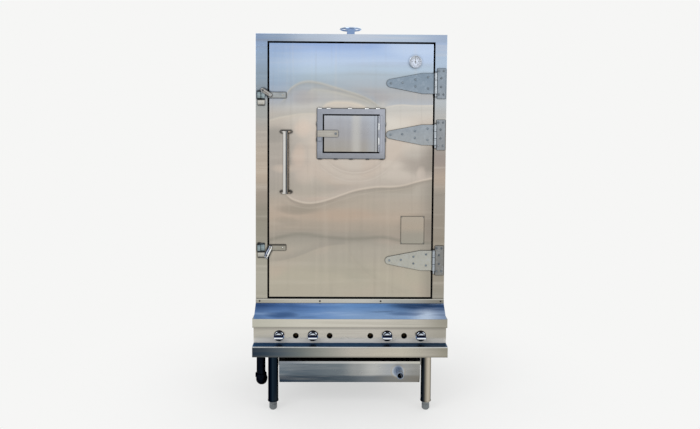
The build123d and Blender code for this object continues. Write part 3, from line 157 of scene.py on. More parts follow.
def plus(first, second):
    """Their sum."""
    return calculate("ADD", first, second)


def minus(first, second):
    """The first less the second."""
    return calculate("SUBTRACT", first, second)


def larger(first, second):
    """Whichever is larger."""
    return calculate("MAXIMUM", first, second)


def gap_to(value, centre):
    """How far a value is from a centre, on either side."""
    return calculate("ABSOLUTE", minus(value, centre))


def squares(first, second):
    """The sum of two squares."""
    return plus(times(first, first), times(second, second))


def in_oval(across, up, centre, half_wide, half_high):
    """0 in the middle of an oval, 1 on its edge, and more outside."""
    side = calculate("DIVIDE", minus(across, centre[0]), half_wide)
    rise = calculate("DIVIDE", minus(up, centre[1]), half_high)
    return squares(side, rise)


def place(scale=(1, 1, 1), turn=(0, 0, 0)):
    """Object coordinates, turned and scaled."""
    source = add("ShaderNodeTexCoord").outputs["Object"]
    return add("ShaderNodeMapping", {"Vector": source, "Scale": scale, "Rotation": turn}).outputs[0]


def along(axis, kind="Object"):
    """One coordinate in metres, or with kind Normal how far the surface faces along that axis."""
    source = add("ShaderNodeTexCoord").outputs[kind]
    return add("ShaderNodeSeparateXYZ", {"Vector": source}).outputs[axis]


def round_distance(across, up):
    """Distance in metres from a point of the front."""
    return calculate("SQRT", squares(minus(along("X"), across), minus(along("Z"), up)))


def noise(vector, scale, detail=2.0, roughness=0.5, distortion=0.0):
    """A noise value between 0 and 1."""
    inputs = {"Vector": vector, "Scale": scale, "Detail": detail, "Roughness": roughness,
              "Distortion": distortion}
    return add("ShaderNodeTexNoise", inputs).outputs["Fac"]


def remap(value, low, high, to_low=0.0, to_high=1.0, smooth=True):
    """The value's span from low to high, stretched to another span."""
    kind = "SMOOTHSTEP" if smooth else "LINEAR"
    inputs = {"Value": value, "From Min": low, "From Max": high, "To Min": to_low, "To Max": to_high}
    return add("ShaderNodeMapRange", inputs, interpolation_type=kind).outputs["Result"]


def window(value, rise_from, rise_to, fall_from, fall_to):
    """0, then 1 between two soft edges, then 0 again."""
    return times(remap(value, rise_from, rise_to), remap(value, fall_to, fall_from))


def ramp(value, stops, mode="EASE"):
    """Colours along a value: stops are pairs of a value and a written colour, in rising order."""
    low, high = stops[0][0], stops[-1][0]
    node = add("ShaderNodeValToRGB", {"Fac": remap(value, low, high, smooth=False)})
    node.color_ramp.interpolation = mode
    points = node.color_ramp.elements
    while len(points) < len(stops):
        points.new(0.5)
    for point, (where, tint) in zip(points, stops):
        point.position = (where - low) / (high - low)
        point.color = colour(tint)
    return node.outputs["Color"]


def mix(factor, first, second):
    """Two colours mixed by a factor."""
    node = add("ShaderNodeMix", data_type="RGBA", blend_type="MIX")
    for name, value in (("Factor_Float", factor), ("A_Color", first), ("B_Color", second)):
        fill(next(s for s in node.inputs if s.identifier == name), value)
    return next(s for s in node.outputs if s.identifier == "Result_Color")


def bump(*layers):
    """Chains bumps: each layer is a height value, a strength and a distance in metres."""
    last = {}
    for height, strength, distance in layers:
        inputs = {"Height": height, "Strength": strength, "Distance": distance, **last}
        last = {"Normal": add("ShaderNodeBump", inputs).outputs["Normal"]}
    put("Normal", last["Normal"])


# %% [markdown]
# ## Polished stainless sheet
# Bright rolled sheet mirrors its surroundings softly, and that mirror image is painted into the colour as a
# painted reflection:
# pale blue high up and warm beige lower down. The colours run along the object's own height or width, so they
# stay on the metal when it is seen from anywhere. Fine rolling lines and a slow waviness go into the bump,
# and a faint smear into the roughness. Painted shade darkens the edges inside each door gap.

# %% Polished sheet recipe
def rolled_lines(axis):
    """Fine rolling lines along one axis of the object."""
    stretch = {"x": (3, 220, 900), "y": (900, 3, 900), "z": (900, 220, 3)}[axis]
    return noise(place(stretch), 1.0, 3.0, 0.6)


def wavy(axis, amount, scale=2.2):
    """A coordinate in metres that wanders a little, as a mirror image in thin sheet does."""
    drift = noise(place((1.0, 1.0, 0.7)), scale, 2.0, 0.4, 0.5)
    return plus(along(axis), times(minus(drift, 0.5), amount))


def painted_gap_shade(tint, front, deep=0.008):
    """Painted shade in the door gap: behind the front face the metal is painted nearly black and turns matt."""
    # Painted shade: behind the front face the colour goes nearly black and the metal stops being metallic.
    behind = remap(along("Y"), front + 0.002, front + deep)
    put("Metallic", minus(1.0, behind))
    return mix(behind, tint, "08090b"), behind


def painted_contact_shade(tint, reach=0.014, share=0.85, only=1.0):
    """A dark line of painted shade where another part stands on the sheet, but only where asked."""
    # Painted shade: ambient occlusion near other parts darkens the colour.
    open_sky = add("ShaderNodeAmbientOcclusion", {"Distance": reach}, samples=12).outputs["AO"]
    return mix(times(remap(open_sky, 0.97, 0.68, 0.0, share), only), tint, "1b1f24")


def polish(tint, axis="x", roughness=0.24, dents=0.30, painted_shade_mask=None):
    """The colour, a faint smear in the roughness, a rough finish under the painted shade mask, and the bump of
    rolled sheet.
    """
    put("Base Color", tint)
    smear = noise(place((2, 2, 7)), 1.6, 4.0, 0.6, 0.4)
    rough = remap(smear, 0.3, 0.8, roughness - 0.04, roughness + 0.07)
    put("Roughness", rough if painted_shade_mask is None else larger(rough, painted_shade_mask))
    slow = noise(place(), 3.0, 1.0, 0.3)
    bump((slow, dents, 0.01), (rolled_lines(axis), 0.05, 0.0004))
    return material


def grained(tint, grain, low, high, bumps):
    """The colour, with a fine grain in the roughness and the bump."""
    put("Base Color", tint)
    put("Roughness", remap(grain, 0.3, 0.75, low, high))
    bump(bumps)
    return material


def streaks(tint, spread, share, light="e2dace", dark="8d857a"):
    """Long soft streaks, light and dark, along the direction in which spread is small."""
    value = noise(place(spread), 1.0, 3.0, 0.6, 0.2)
    tint = mix(remap(value, 0.52, 0.75, 0.0, share), tint, light)
    return mix(remap(value, 0.46, 0.27, 0.0, share), tint, dark)


# %% [markdown]
# ## Cabinet front, sides and roof
# The two stiles do not mirror the same things, so each carries its own painted reflection: the left one is
# darker and bluer at the top, and has a band of warm streaks at the height of the door handle. So the front
# frame has one row of painted reflection colours up its left side and one up its right, mixed across its width,
# and a third along the top rail.

# %% Cabinet sheets
def frame_sheet():
    """The front frame: left stile, right stile and top rail each have their own painted reflection colours,
    with painted shade near other parts and in the door gap.
    """
    start("stainless_frame", "b1a997", 1.0, 0.24)
    up = wavy("Z", 0.05)
    left = ramp(up, [
        (0.50, "aeaa9c"), (0.60, "b6b2a5"), (0.72, "aca89b"), (0.84, "9e998c"), (0.93, "9d978a"),
        (1.03, "a79d91"), (1.13, "bdaf9f"), (1.22, "b7ab9d"), (1.32, "b0a9a0"), (1.43, "a6a8a5"),
        (1.52, "8c97a0"), (1.60, "8c9dac"), (1.68, "92a5bb"), (1.80, "87a0c4")])
    right = ramp(up, [
        (0.50, "9c988d"), (0.62, "a0998c"), (0.78, "9f9688"), (0.90, "9f968a"), (1.02, "a29a90"),
        (1.11, "b6a799"), (1.19, "a1968f"), (1.30, "a9a49c"), (1.41, "b5b5b3"), (1.50, "b6bcc0"),
        (1.58, "b2c0cd"), (1.66, "b0c2d6"), (1.80, "a4b5d2")])
    tint = mix(remap(along("X"), -0.25, 0.25), left, right)
    rail = ramp(along("X"), [
        (-0.457, "8296b2"), (-0.36, "8b9db5"), (-0.20, "b0bccd"), (0.02, "bdc8d8"), (0.24, "b3c2d6"),
        (0.457, "a0b0c8")])
    tint = mix(remap(along("Z"), door_high.z, door_high.z + 0.012), tint, rail)
    tint = streaks(tint, (1.2, 1.2, 34), 0.22)
    # Painted shade near other parts and in the door gap.
    tint = painted_contact_shade(tint)
    tint, painted_shade_mask = painted_gap_shade(tint, face_y)
    return polish(tint, "z", painted_shade_mask=painted_shade_mask)


def side_sheet():
    """Side, back and roof panels: grey steel with a painted reflection that turns bluer towards the top."""
    start("stainless_sides", "a5a29c", 1.0, 0.28)
    up = wavy("Z", 0.25, 1.6)
    tint = ramp(up, [(0.3, "8f8c86"), (0.7, "a29e96"), (1.1, "b0aba2"), (1.4, "b3b3b1"), (1.85, "a4b3c7")])
    tint = streaks(tint, (2.5, 2.5, 0.5), 0.16, "d5d3cd", "868580")
    return polish(tint, "z", 0.28, 0.4)


def inner_sheet():
    """Sheets inside the cabinet, browned by smoke, darkest near the top."""
    start("stainless_inside", "7d766b", 1.0, 0.38)
    up = wavy("Z", 0.4, 2.5)
    tint = ramp(up, [(0.5, "8b867c"), (1.1, "857c6e"), (1.5, "6e6252"), (1.75, "4f4438")])
    tint = streaks(tint, (14, 14, 1.2), 0.35, "a89c88", "3c342b")
    return polish(tint, "z", 0.38, 0.2)


stainless_frame = frame_sheet()
stainless_sides = side_sheet()
stainless_inside = inner_sheet()
print("cabinet finishes:", stainless_frame.name, stainless_sides.name, stainless_inside.name)

# %% [markdown]
# ## The door's mirror image
# The big door sheet is thin and springy, so its mirror image flows in long arches and waves, which are painted
# into its colour as painted reflections. Each wave is one curve of height across the width, drawn with a Float
# Curve node. It has a thin painted bright line, and its own tint fades away above and below the line, as beside
# a bright horizon in a wavy mirror. A wave may die out before it reaches the door's edges. Each one lists its
# reach, then the tint, share and depth of its line, above it and below it, and then its points.

# %% Waves on the door
painted_reflection_waves = {
    "broad arch": ((0.05, 0.70), ("c2beb2", 0.50, 0.011), ("9fb0bd", 0.35, 0.05), ("a09f98", 0.50, 0.045), [
        (0.0, 1.46), (0.09, 1.485), (0.12, 1.528), (0.16, 1.554), (0.22, 1.571), (0.29, 1.568), (0.37, 1.552),
        (0.465, 1.530), (0.545, 1.511), (0.615, 1.487), (0.665, 1.461), (0.72, 1.43), (1.0, 1.40)]),
    "inner arch": ((0.21, 0.66), ("c6c3b8", 0.40, 0.010), ("a3a39c", 0.25, 0.02), ("bdbbb2", 0.45, 0.05), [
        (0.0, 1.46), (0.22, 1.500), (0.245, 1.527), (0.31, 1.533), (0.38, 1.526), (0.457, 1.513),
        (0.53, 1.500), (0.615, 1.476), (0.66, 1.453), (0.75, 1.42), (1.0, 1.40)]),
    "bright patch": ((0.30, 0.64), ("dcd2c3", 0.50, 0.012), ("b5b4ad", 0.2, 0.02), ("d6cabb", 0.75, 0.06), [
        (0.0, 1.40), (0.30, 1.446), (0.36, 1.470), (0.447, 1.478), (0.53, 1.470), (0.604, 1.448), (0.70, 1.42),
        (1.0, 1.40)]),
    "right horizon": ((0.68, 1.3), ("d8d3c9", 0.65, 0.007), ("a9b4c4", 0.45, 0.05), ("cfccc6", 0.50, 0.08), [
        (0.0, 1.40), (0.66, 1.438), (0.70, 1.450), (0.75, 1.459), (0.81, 1.464), (0.89, 1.461), (1.0, 1.463)]),
    "left horizon": ((-0.3, 0.32), ("cdc7ba", 0.45, 0.008), ("a5a6a1", 0.40, 0.04), ("c8bfb2", 0.40, 0.06), [
        (0.0, 1.385), (0.05, 1.398), (0.10, 1.406), (0.19, 1.418), (0.30, 1.420), (1.0, 1.42)]),
    "small bowl": ((0.33, 0.74), ("d2c7bc", 0.45, 0.006), ("b0a69d", 0.35, 0.03), ("b3a99f", 0.30, 0.02), [
        (0.0, 1.26), (0.35, 1.192), (0.40, 1.163), (0.465, 1.142), (0.53, 1.135), (0.604, 1.144),
        (0.665, 1.168), (0.713, 1.202), (1.0, 1.30)]),
    "large bowl": ((0.26, 0.82), ("cfc5ba", 0.35, 0.007), ("b6aca2", 0.25, 0.03), ("b9aea3", 0.20, 0.02), [
        (0.0, 1.26), (0.28, 1.185), (0.35, 1.140), (0.435, 1.105), (0.53, 1.094), (0.64, 1.108),
        (0.725, 1.150), (0.80, 1.205), (1.0, 1.30)]),
    "long wave": ((0.07, 1.3), ("d6c9bb", 0.75, 0.009), ("c6bab0", 0.55, 0.05), ("978e83", 0.70, 0.030), [
        (0.0, 1.06), (0.07, 1.052), (0.10, 1.034), (0.13, 1.0125), (0.174, 0.996), (0.235, 0.986),
        (0.30, 0.991), (0.374, 1.008), (0.447, 1.029), (0.525, 1.049), (0.604, 1.061), (0.677, 1.068),
        (0.75, 1.069), (0.83, 1.077), (0.907, 1.094), (1.0, 1.110)]),
    "echo wave": ((0.05, 0.92), ("b7ada0", 0.50, 0.006), ("9c9388", 0.30, 0.012), ("a2998c", 0.35, 0.05), [
        (0.0, 1.02), (0.08, 0.995), (0.16, 0.972), (0.26, 0.962), (0.37, 0.984), (0.46, 1.008), (0.56, 1.030),
        (0.68, 1.046), (0.80, 1.055), (1.0, 1.085)]),
    "greenish band": ((-0.1, 1.1), ("918d82", 0.55, 0.013), ("a2978a", 0.30, 0.05), ("8f8b80", 0.45, 0.028), [
        (0.0, 0.810), (0.08, 0.824), (0.15, 0.834), (0.23, 0.834), (0.34, 0.824), (0.465, 0.815),
        (0.586, 0.818), (0.707, 0.823), (0.80, 0.810), (1.0, 0.795)]),
    "low hump": ((-0.2, 0.50), ("b4ac9e", 0.30, 0.010), ("97928a", 0.35, 0.05), ("b6ae9f", 0.35, 0.05), [
        (0.0, 0.700), (0.13, 0.713), (0.222, 0.737), (0.313, 0.766), (0.434, 0.782), (0.51, 0.78),
        (1.0, 0.76)]),
    "falling arc": ((0.44, 0.88), ("bbb2a2", 0.35, 0.008), ("aaa294", 0.20, 0.04), ("b2aa9b", 0.25, 0.05), [
        (0.0, 0.80), (0.44, 0.79), (0.47, 0.775), (0.50, 0.732), (0.556, 0.675), (0.647, 0.617),
        (0.768, 0.569), (0.84, 0.548), (1.0, 0.53)]),
}
# Painted light and shade: soft bright and dark patches on the door.
painted_light_and_shade_patches = [
    (-0.02, 1.230, 0.260, 0.230, "8f8b85", 0.52), (0.03, 1.325, 0.090, 0.040, "85837d", 0.38),
    (0.97, 1.190, 0.170, 0.070, "8f877f", 0.55), (0.97, 0.870, 0.170, 0.070, "877f76", 0.45),
    (0.93, 1.745, 0.260, 0.055, "c9d9ef", 0.70), (0.215, 1.350, 0.055, 0.048, "dccabb", 0.60),
    (0.19, 1.215, 0.045, 0.060, "d8c4b4", 0.55), (0.10, 1.155, 0.080, 0.022, "d3c3b4", 0.50),
    (0.22, 1.130, 0.060, 0.050, "cfc0b2", 0.45), (0.925, 1.135, 0.030, 0.035, "ddcfc3", 0.55),
    (0.80, 1.120, 0.080, 0.030, "cfc4b9", 0.45), (0.78, 1.370, 0.150, 0.035, "dfdad0", 0.55),
    (0.90, 1.250, 0.080, 0.050, "cdc8bf", 0.40), (0.52, 1.100, 0.130, 0.022, "d3c8bd", 0.45),
    (0.75, 1.180, 0.080, 0.020, "d6ccc0", 0.40), (0.40, 1.060, 0.140, 0.020, "b1a9a0", 0.40),
    (0.32, 1.010, 0.100, 0.012, "c9b3a2", 0.45), (0.17, 0.960, 0.120, 0.022, "8e897e", 0.45),
    (0.44, 0.930, 0.200, 0.035, "c0a995", 0.35), (0.12, 0.905, 0.080, 0.022, "a0988b", 0.40),
    (0.25, 1.660, 0.260, 0.050, "bccddf", 0.25), (0.62, 1.590, 0.200, 0.045, "b2bcc6", 0.35),
    (0.62, 1.500, 0.120, 0.035, "a39fa3", 0.35), (0.22, 1.500, 0.080, 0.040, "aaa39f", 0.40)]


def add_glow(tint, across, up, glow):
    """A soft round patch of light or shade: place across and up, half width and height, tint and share."""
    centre, height, half_wide, half_high, text, share = glow
    inside = in_oval(across, up, (centre, height), half_wide, half_high)
    return mix(remap(inside, 1.6, 0.0, 0.0, share), tint, text)


def wave_height(across, points):
    """The height in metres of a curve over the door's width, which runs from 0 to 1."""
    node = add("ShaderNodeFloatCurve", {"Value": across})
    curve = node.mapping.curves[0]
    values = [(where, (height - door_low.z) / (door_high.z - door_low.z)) for where, height in points]
    curve.points[0].location = values[0]
    curve.points[-1].location = values[-1]
    for value in values[1:-1]:
        curve.points.new(*value)
    node.mapping.update()
    return remap(node.outputs["Value"], 0.0, 1.0, door_low.z, door_high.z, smooth=False)


def add_wave(tint, across, up, wave):
    """Mixes one wave's tints into the door's colour."""
    (first, last), (line, line_share, thick), *sides, points = wave
    gap = minus(up, wave_height(across, points))
    fade = window(across, first, first + 0.07, last - 0.07, last)
    for side, (text, share, deep) in zip((1, -1), sides):
        near = remap(gap, side * deep, 0.0)
        own_side = remap(gap, -side * 0.002, side * 0.004)
        tint = mix(times(near, own_side, fade, share), tint, text)
    return mix(times(remap(gap_to(gap, 0.0), thick, 0.0), fade, line_share), tint, line)


# %% Door sheet
def door_sheet():
    """The polished sheet of the big door: a row of painted reflection colours up its height, painted patches of
    light and shade, streaks, painted reflection waves, and painted shade near other parts and in the door gap.
    """
    start("stainless_door", "b1a997", 1.0, 0.22)
    up = wavy("Z", 0.02)
    across = remap(along("X"), -door_half, door_half, smooth=False)
    base = ramp(wavy("Z", 0.09, 1.7), [
        (0.53, "b9b2a2"), (0.62, "bbb4a3"), (0.74, "b4ada0"), (0.82, "a7a196"), (0.857, "b0a597"),
        (0.915, "bbac9c"), (0.977, "b9aea0"), (1.04, "b9b1a5"), (1.135, "cbc1b6"), (1.24, "cec5ba"),
        (1.336, "d2cac0"), (1.408, "d1ccc4"), (1.45, "c6c4bf"), (1.49, "b6b6b6"), (1.528, "b0b3b6"),
        (1.565, "aeb8c1"), (1.60, "b0bfcb"), (1.636, "b6c8da"), (1.671, "bbcde6"), (1.71, "afc4e4"),
        (1.754, "9ab2dc")])
    # Painted reflection: a blue patch in the top left corner, and warm and cool patches lower down.
    corner = times(remap(across, 0.30, 0.0), remap(up, 1.40, 1.55))
    tint = mix(times(corner, 0.55), base, "8ba3c0")
    patch = noise(place((1.0, 1.0, 1.6)), 2.6, 2.0, 0.5, 0.6)
    low = remap(up, 1.50, 1.35)
    warm = times(remap(patch, 0.50, 0.72, 0.0, 0.35), low)
    tint = mix(warm, tint, "c9b5a5")
    cool = times(remap(patch, 0.48, 0.28, 0.0, 0.30), low)
    tint = mix(cool, tint, "a3a294")
    side_step = times(minus(patch, 0.5), 0.10)
    shifted = plus(across, side_step)
    for glow in painted_light_and_shade_patches:
        tint = add_glow(tint, shifted, wavy("Z", 0.05, 3.0), glow)
    # Painted shade along the lower part of the right edge.
    right_edge_shade = times(remap(across, 0.90, 1.0, 0.0, 0.50), remap(up, 1.42, 1.22))
    tint = mix(right_edge_shade, tint, "8b857d")
    for wave in painted_reflection_waves.values():
        tint = add_wave(tint, across, up, wave)
    tint = streaks(tint, (46, 1, 1.6), 0.10, "d8cdbf", "8f877b")
    tint = streaks(tint, (1.3, 1, 26), 0.10, "ddd5ca", "958d83")
    # Painted shade near other parts, weaker round the dial, and painted shade in the door gap.
    tint = painted_contact_shade(tint, only=remap(round_distance(*dial_centre), 0.036, 0.050, 0.25, 1.0))
    tint, painted_shade_mask = painted_gap_shade(tint, face_y)
    return polish(tint, "x", 0.21, painted_shade_mask=painted_shade_mask)


stainless_door = door_sheet()
print("door finish:", len(painted_reflection_waves), "waves and", len(painted_light_and_shade_patches), "soft patches")

# %% [markdown]
# ## The front of the burner base
# The apron leans back and mirrors what is high above it, so it is the one sheet painted blue all over, as a
# painted reflection.
# The rail, the control panel and the ledge are beige, with painted reflections, and the ledge's level top is
# painted dark blue for shade and reflection. All
# of them are folded from the same bright sheet, and their recipes are alike:
# a row of colours across the width, with other colours mixed in by height or on the faces that look up.

# %% Base sheets
def apron_sheet():
    """Painted blue reflections, with painted shade at the ends and under the sill."""
    start("stainless_apron", "5f7fa8", 1.0, 0.22)
    across = wavy("X", 0.10)
    upper = ramp(across, [
        (-0.457, "3a5788"), (-0.25, "557ab2"), (-0.02, "6a91c4"), (0.14, "6188bb"), (0.30, "43608a"),
        (0.457, "2d4870")])
    lower = ramp(across, [
        (-0.457, "6585b3"), (-0.2, "6e90c0"), (0.05, "819fc6"), (0.25, "7c99bf"), (0.37, "b4c4da"),
        (0.457, "9db0cc")])
    up = wavy("Z", 0.014, 6.0)
    tint = mix(remap(up, 0.490, 0.458), upper, lower)
    # Painted shade at both ends, and painted dark streaks across the reflection.
    end = remap(gap_to(along("X"), 0.0), 0.36, 0.455, 0.0, 0.30)
    tint = mix(end, tint, "1f3454")
    for shade in ((-0.335, 0.458, 0.080, 0.011, "2f4c78", 0.75), (0.33, 0.492, 0.130, 0.010, "243a5c", 0.70),
                  (0.27, 0.463, 0.090, 0.007, "35507a", 0.55)):
        tint = add_glow(tint, across, up, shade)
    tint = streaks(tint, (2.5, 30, 34), 0.42, "a9c0e0", "1d3457")
    return polish(tint, "x", 0.22, 0.2)


def rail_sheet():
    """The rail over the control panel: warm grey painted reflections, paler in the middle, with a painted
    blue-grey reflection on its top face and painted shade along its lower edge.
    """
    start("stainless_rail", "bdb9ad", 1.0, 0.22)
    across = wavy("X", 0.06)
    tint = ramp(across, [
        (-0.464, "c2c0b3"), (-0.2, "d0ccc0"), (0.1, "d0cbc0"), (0.3, "c3bfb4"), (0.464, "a09c90")])
    # Painted reflection on the top face, and painted shade along the lower edge.
    tint = mix(remap(along("Z", "Normal"), 0.3, 0.8), tint, "55687d")
    tint = mix(remap(along("Z"), 0.410, 0.403, 0.0, 0.5), tint, "7c776c")
    tint = streaks(tint, (1.5, 20, 60), 0.22, "dcd8ce", "98938a")
    return polish(tint, "x", 0.22, 0.15)


def panel_sheet():
    """The control panel: beige, with painted shade under the rail and painted light along its foot, where it is
    also made non-metallic, so it looks matt.
    """
    start("stainless_panel", "b3afa5", 1.0, 0.26)
    across = wavy("X", 0.06)
    tint = ramp(across, [
        (-0.459, "bdb9ae"), (-0.2, "c4c0b6"), (0.1, "c6c1b8"), (0.3, "b9b4aa"), (0.459, "a8a499")])
    # Painted shade under the rail, and painted light along the foot, which is also made non-metallic.
    tint = mix(remap(along("Z"), 0.386, 0.402, 0.0, 0.5), tint, "6f6d66")
    painted_shading = remap(along("Z"), 0.358, 0.342)
    tint = mix(times(painted_shading, 0.85), tint, "d2cec6")
    tint = streaks(tint, (1.5, 20, 50), 0.15, "cfcbc1", "918d83")
    put("Metallic", minus(1.0, painted_shading))
    return polish(tint, "x", 0.26, 0.15)


def ledge_sheet():
    """The front ledge: a top painted dark blue for shade and reflection, a painted highlight on its edge, and a
    front with painted shade at its left end and along its foot.
    """
    start("stainless_ledge", "b4aea4", 1.0, 0.24)
    put("Specular Tint", "b4b9c2")
    across = wavy("X", 0.05)
    front = ramp(across, [
        (-0.458, "2a3644"), (-0.40, "35424f"), (-0.326, "4e5962"), (-0.231, "6f7675"),
        (-0.12, "979891"), (0.005, "bab4aa"), (0.24, "c4beae"), (0.36, "b0ab9f"),
        (0.458, "9a9688")], "LINEAR")
    top = ramp(across, [(-0.458, "36587f"), (0.0, "3b5c80"), (0.458, "3c546e")])
    # Painted shade and reflection on the top, a painted highlight on the edge, and painted shade along the
    # foot.
    tint = mix(remap(along("Z", "Normal"), 0.5, 0.8), front, top)
    lit = times(remap(along("Z"), 0.3225, 0.3262), remap(along("Y"), -0.3795, -0.3830))
    tint = mix(times(lit, 0.75), tint, "dfe2e2")
    tint = mix(remap(along("Z"), 0.288, 0.280, 0.0, 0.45), tint, "625f58")
    tint = streaks(tint, (1.5, 20, 40), 0.18, "d5d0c5", "7b776e")
    return polish(tint, "x", 0.24, 0.15)


def sill_sheet():
    """The strip under the door, with a painted highlight where its top edge is rolled and a painted dark line
    of shade along its foot.
    """
    start("stainless_sill", "a3a095", 1.0, 0.24)
    tint = ramp(wavy("X", 0.05), [
        (-0.457, "a8a59a"), (-0.22, "c0bdb3"), (0.05, "c2c2bd"), (0.25, "a7a9a6"), (0.457, "86837a")])
    # Painted highlight along the rolled top edge, and painted shade along the foot.
    tint = mix(remap(along("Z"), 0.5165, 0.5190, 0.0, 0.8), tint, "dcdad2")
    tint = mix(remap(along("Z"), 0.5040, 0.5010, 0.0, 0.6), tint, "5d6470")
    return polish(tint, "x", 0.24, 0.15)


stainless_apron, stainless_rail, stainless_panel = apron_sheet(), rail_sheet(), panel_sheet()
stainless_ledge, stainless_sill = ledge_sheet(), sill_sheet()
print("base finishes:", [m.name for m in (stainless_apron, stainless_rail, stainless_panel, stainless_ledge)])

# %% [markdown]
# ## Drip pan and legs
# The pan carries painted shade: it is darker at its left end, and its lower band is darker than its face. Round
# the spout
# a round painted reflection lies on it: straw outside, blue inside. The legs are polished tube, and a polished
# upright tube mirrors dark things as upright bands; these are painted light and shade, which follow the
# direction that the surface faces.

# %% Pan and legs
spout_at = (0.238, 0.184)


def pan_sheet():
    """The drip pan: rim, face and lower band each have their own row of colours with painted light and shade, a
    painted reflection round the spout, and painted shade inside.
    """
    start("stainless_pan", "8d9092", 1.0, 0.27)
    across = wavy("X", 0.08)
    rim = ramp(across, [(-0.338, "7b848e"), (-0.1, "b3b6b7"), (0.15, "d6d4ce"), (0.338, "c6c5bb")])
    face = ramp(across, [
        (-0.338, "6b7781"), (-0.24, "606c76"), (-0.06, "737c82"), (0.03, "9b9e9e"), (0.12, "b9bab8"),
        (0.20, "a9adb0"), (0.338, "989894")])
    band = ramp(across, [
        (-0.338, "2f3f4f"), (-0.20, "3c4a57"), (-0.02, "56616a"), (0.10, "737a80"), (0.24, "8b8b87"),
        (0.338, "8a877f")])
    up = along("Z")
    tint = mix(remap(up, 0.222, 0.226), face, rim)
    tint = mix(remap(wavy("Z", 0.006, 8.0), 0.172, 0.158), tint, band)
    # Painted reflection round the spout: straw outside, blue inside.
    ring = round_distance(spout_at[0] - 0.006, spout_at[1] + 0.002)
    for outer, inner, share, text in ((0.040, 0.030, 0.40, "b7a684"), (0.034, 0.026, 0.60, "b4c3d4"),
                                      (0.025, 0.019, 0.60, "5d7698")):
        tint = mix(remap(ring, outer, inner, 0.0, share), tint, text)
    tint = streaks(tint, (2.0, 20, 30), 0.22, "c9c8c4", "5c6064")
    # Painted shade: the inside of the pan, behind its front and on its floor and back, is painted nearly black
    # and made non-metallic.
    behind = times(remap(along("Y"), -0.3148, -0.3130), remap(up, 0.170, 0.174))
    floor_and_back = times(remap(along("Y", "Normal"), 0.6, 0.3), remap(along("Z", "Normal"), -0.6, -0.3),
                           remap(along("Y"), -0.275, -0.265))
    outward = times(along("X"), along("X", "Normal"))
    inside = times(larger(behind, floor_and_back), remap(outward, 0.15, 0.05))
    tint = mix(inside, tint, "0a0b0c")
    put("Metallic", minus(1.0, inside))
    return polish(tint, "x", 0.27, 0.3, painted_shade_mask=inside)


def leg_tube():
    """Polished tube with painted light and shade: the left legs are painted dark all round, the right ones have
    a painted pale right half.
    """
    start("stainless_legs", "6d6c66", 1.0, 0.20)
    put("Specular Tint", "3c4652")
    facing = along("X", "Normal")
    left = ramp(facing, [
        (-1.0, "030813"), (-0.4, "050f1c"), (0.0, "1d2a36"), (0.35, "16212c"), (1.0, "0a131d")])
    right = ramp(facing, [
        (-1.0, "262c32"), (-0.62, "121920"), (-0.45, "33373a"), (-0.25, "706c61"), (0.0, "a59d8f"),
        (0.3, "c0b8a9"), (0.8, "b8b0a1"), (1.0, "989285")])
    tint = mix(calculate("GREATER_THAN", along("X"), 0.0), left, right)
    tint = streaks(tint, (30, 30, 3), 0.12, "8c8d8a", "0c1016")
    return polish(tint, "z", 0.20, 0.1)


stainless_pan, stainless_legs = pan_sheet(), leg_tube()
print("spout heat tint at", spout_at)

# %% [markdown]
# ## Zinc-plated fittings
# Hinges, latch straps and keepers are zinc-plated mild steel, duller and bluer than the stainless. A
# Voronoi cell pattern gives each small zinc crystal its own shade, so faint that it only shows close
# up. The hinge barrels are round, and painted light and shade makes a round plated bar pale in front and dark
# at its sides.

# %% Plated fittings
def crystals(tint, share, light="b9c4cf", dark="6f7d8a"):
    """Faint zinc crystals and scuffs over a colour."""
    cells = add("ShaderNodeTexVoronoi", {"Vector": place(), "Scale": 170.0})
    crystal = add("ShaderNodeSeparateColor", {"Color": cells.outputs["Color"]}).outputs[0]
    scuff = noise(place(), 26.0, 5.0, 0.65)
    blend = plus(times(crystal, 0.3), times(scuff, 0.7))
    tint = mix(remap(blend, 0.50, 0.75, 0.0, share), tint, light)
    return mix(remap(blend, 0.46, 0.25, 0.0, share), tint, dark), scuff


def barrel(tint, centre, radius, bright, dark):
    """Paints light and shade on a hinge barrel: pale in front, dark at its sides."""
    facing = gap_to(along("X", "Normal"), 0.0)
    round_tint = ramp(facing, [(0.0, bright), (0.62, bright), (0.86, dark), (1.0, dark)])
    offset = gap_to(along("X"), centre)
    return mix(remap(offset, radius * 1.12, radius * 1.02), tint, round_tint)


def knuckle_seams():
    """Thin dark seams across each hinge barrel, where one knuckle meets the next."""
    up, seams = along("Z"), None
    for height in hinge_heights:
        for step in (-0.0165, 0.0165):
            gap = gap_to(up, height + step)
            line = remap(gap, 0.0018, 0.0008)
            seams = line if seams is None else larger(seams, line)
    offset = gap_to(along("X"), hinge_axis)
    return times(seams, remap(offset, 0.0084, 0.0078, 0.0, 0.9))


def plated(tint, scuff, roughness):
    """Finishes a plated part: the scuffs also show in its roughness and bump."""
    return grained(tint, scuff, roughness - 0.06, roughness + 0.10, (scuff, 0.12, 0.0005))


def zinc_hinge(name, stops):
    """Hinge straps or plates with painted reflection colours up the oven, painted shadow lines at their edges,
    painted shade near other parts, and a round barrel with painted light and shade and seams.
    """
    start(name, stops[0][1], 1.0, 0.36)
    tint, scuff = crystals(ramp(along("Z"), stops), 0.25)
    # Painted shadow lines along the plate edges.
    edge = larger(remap(along("X"), 0.4512, 0.4525), window(along("X"), 0.4107, 0.4109, 0.4118, 0.4133))
    tint = mix(times(edge, 0.6), tint, "2c3138")
    tint = barrel(tint, hinge_axis, 0.0076, "aab1b7", "2c333b")
    tint = mix(knuckle_seams(), tint, "2c333b")
    return plated(painted_contact_shade(tint, 0.005, 0.7), scuff, 0.36)


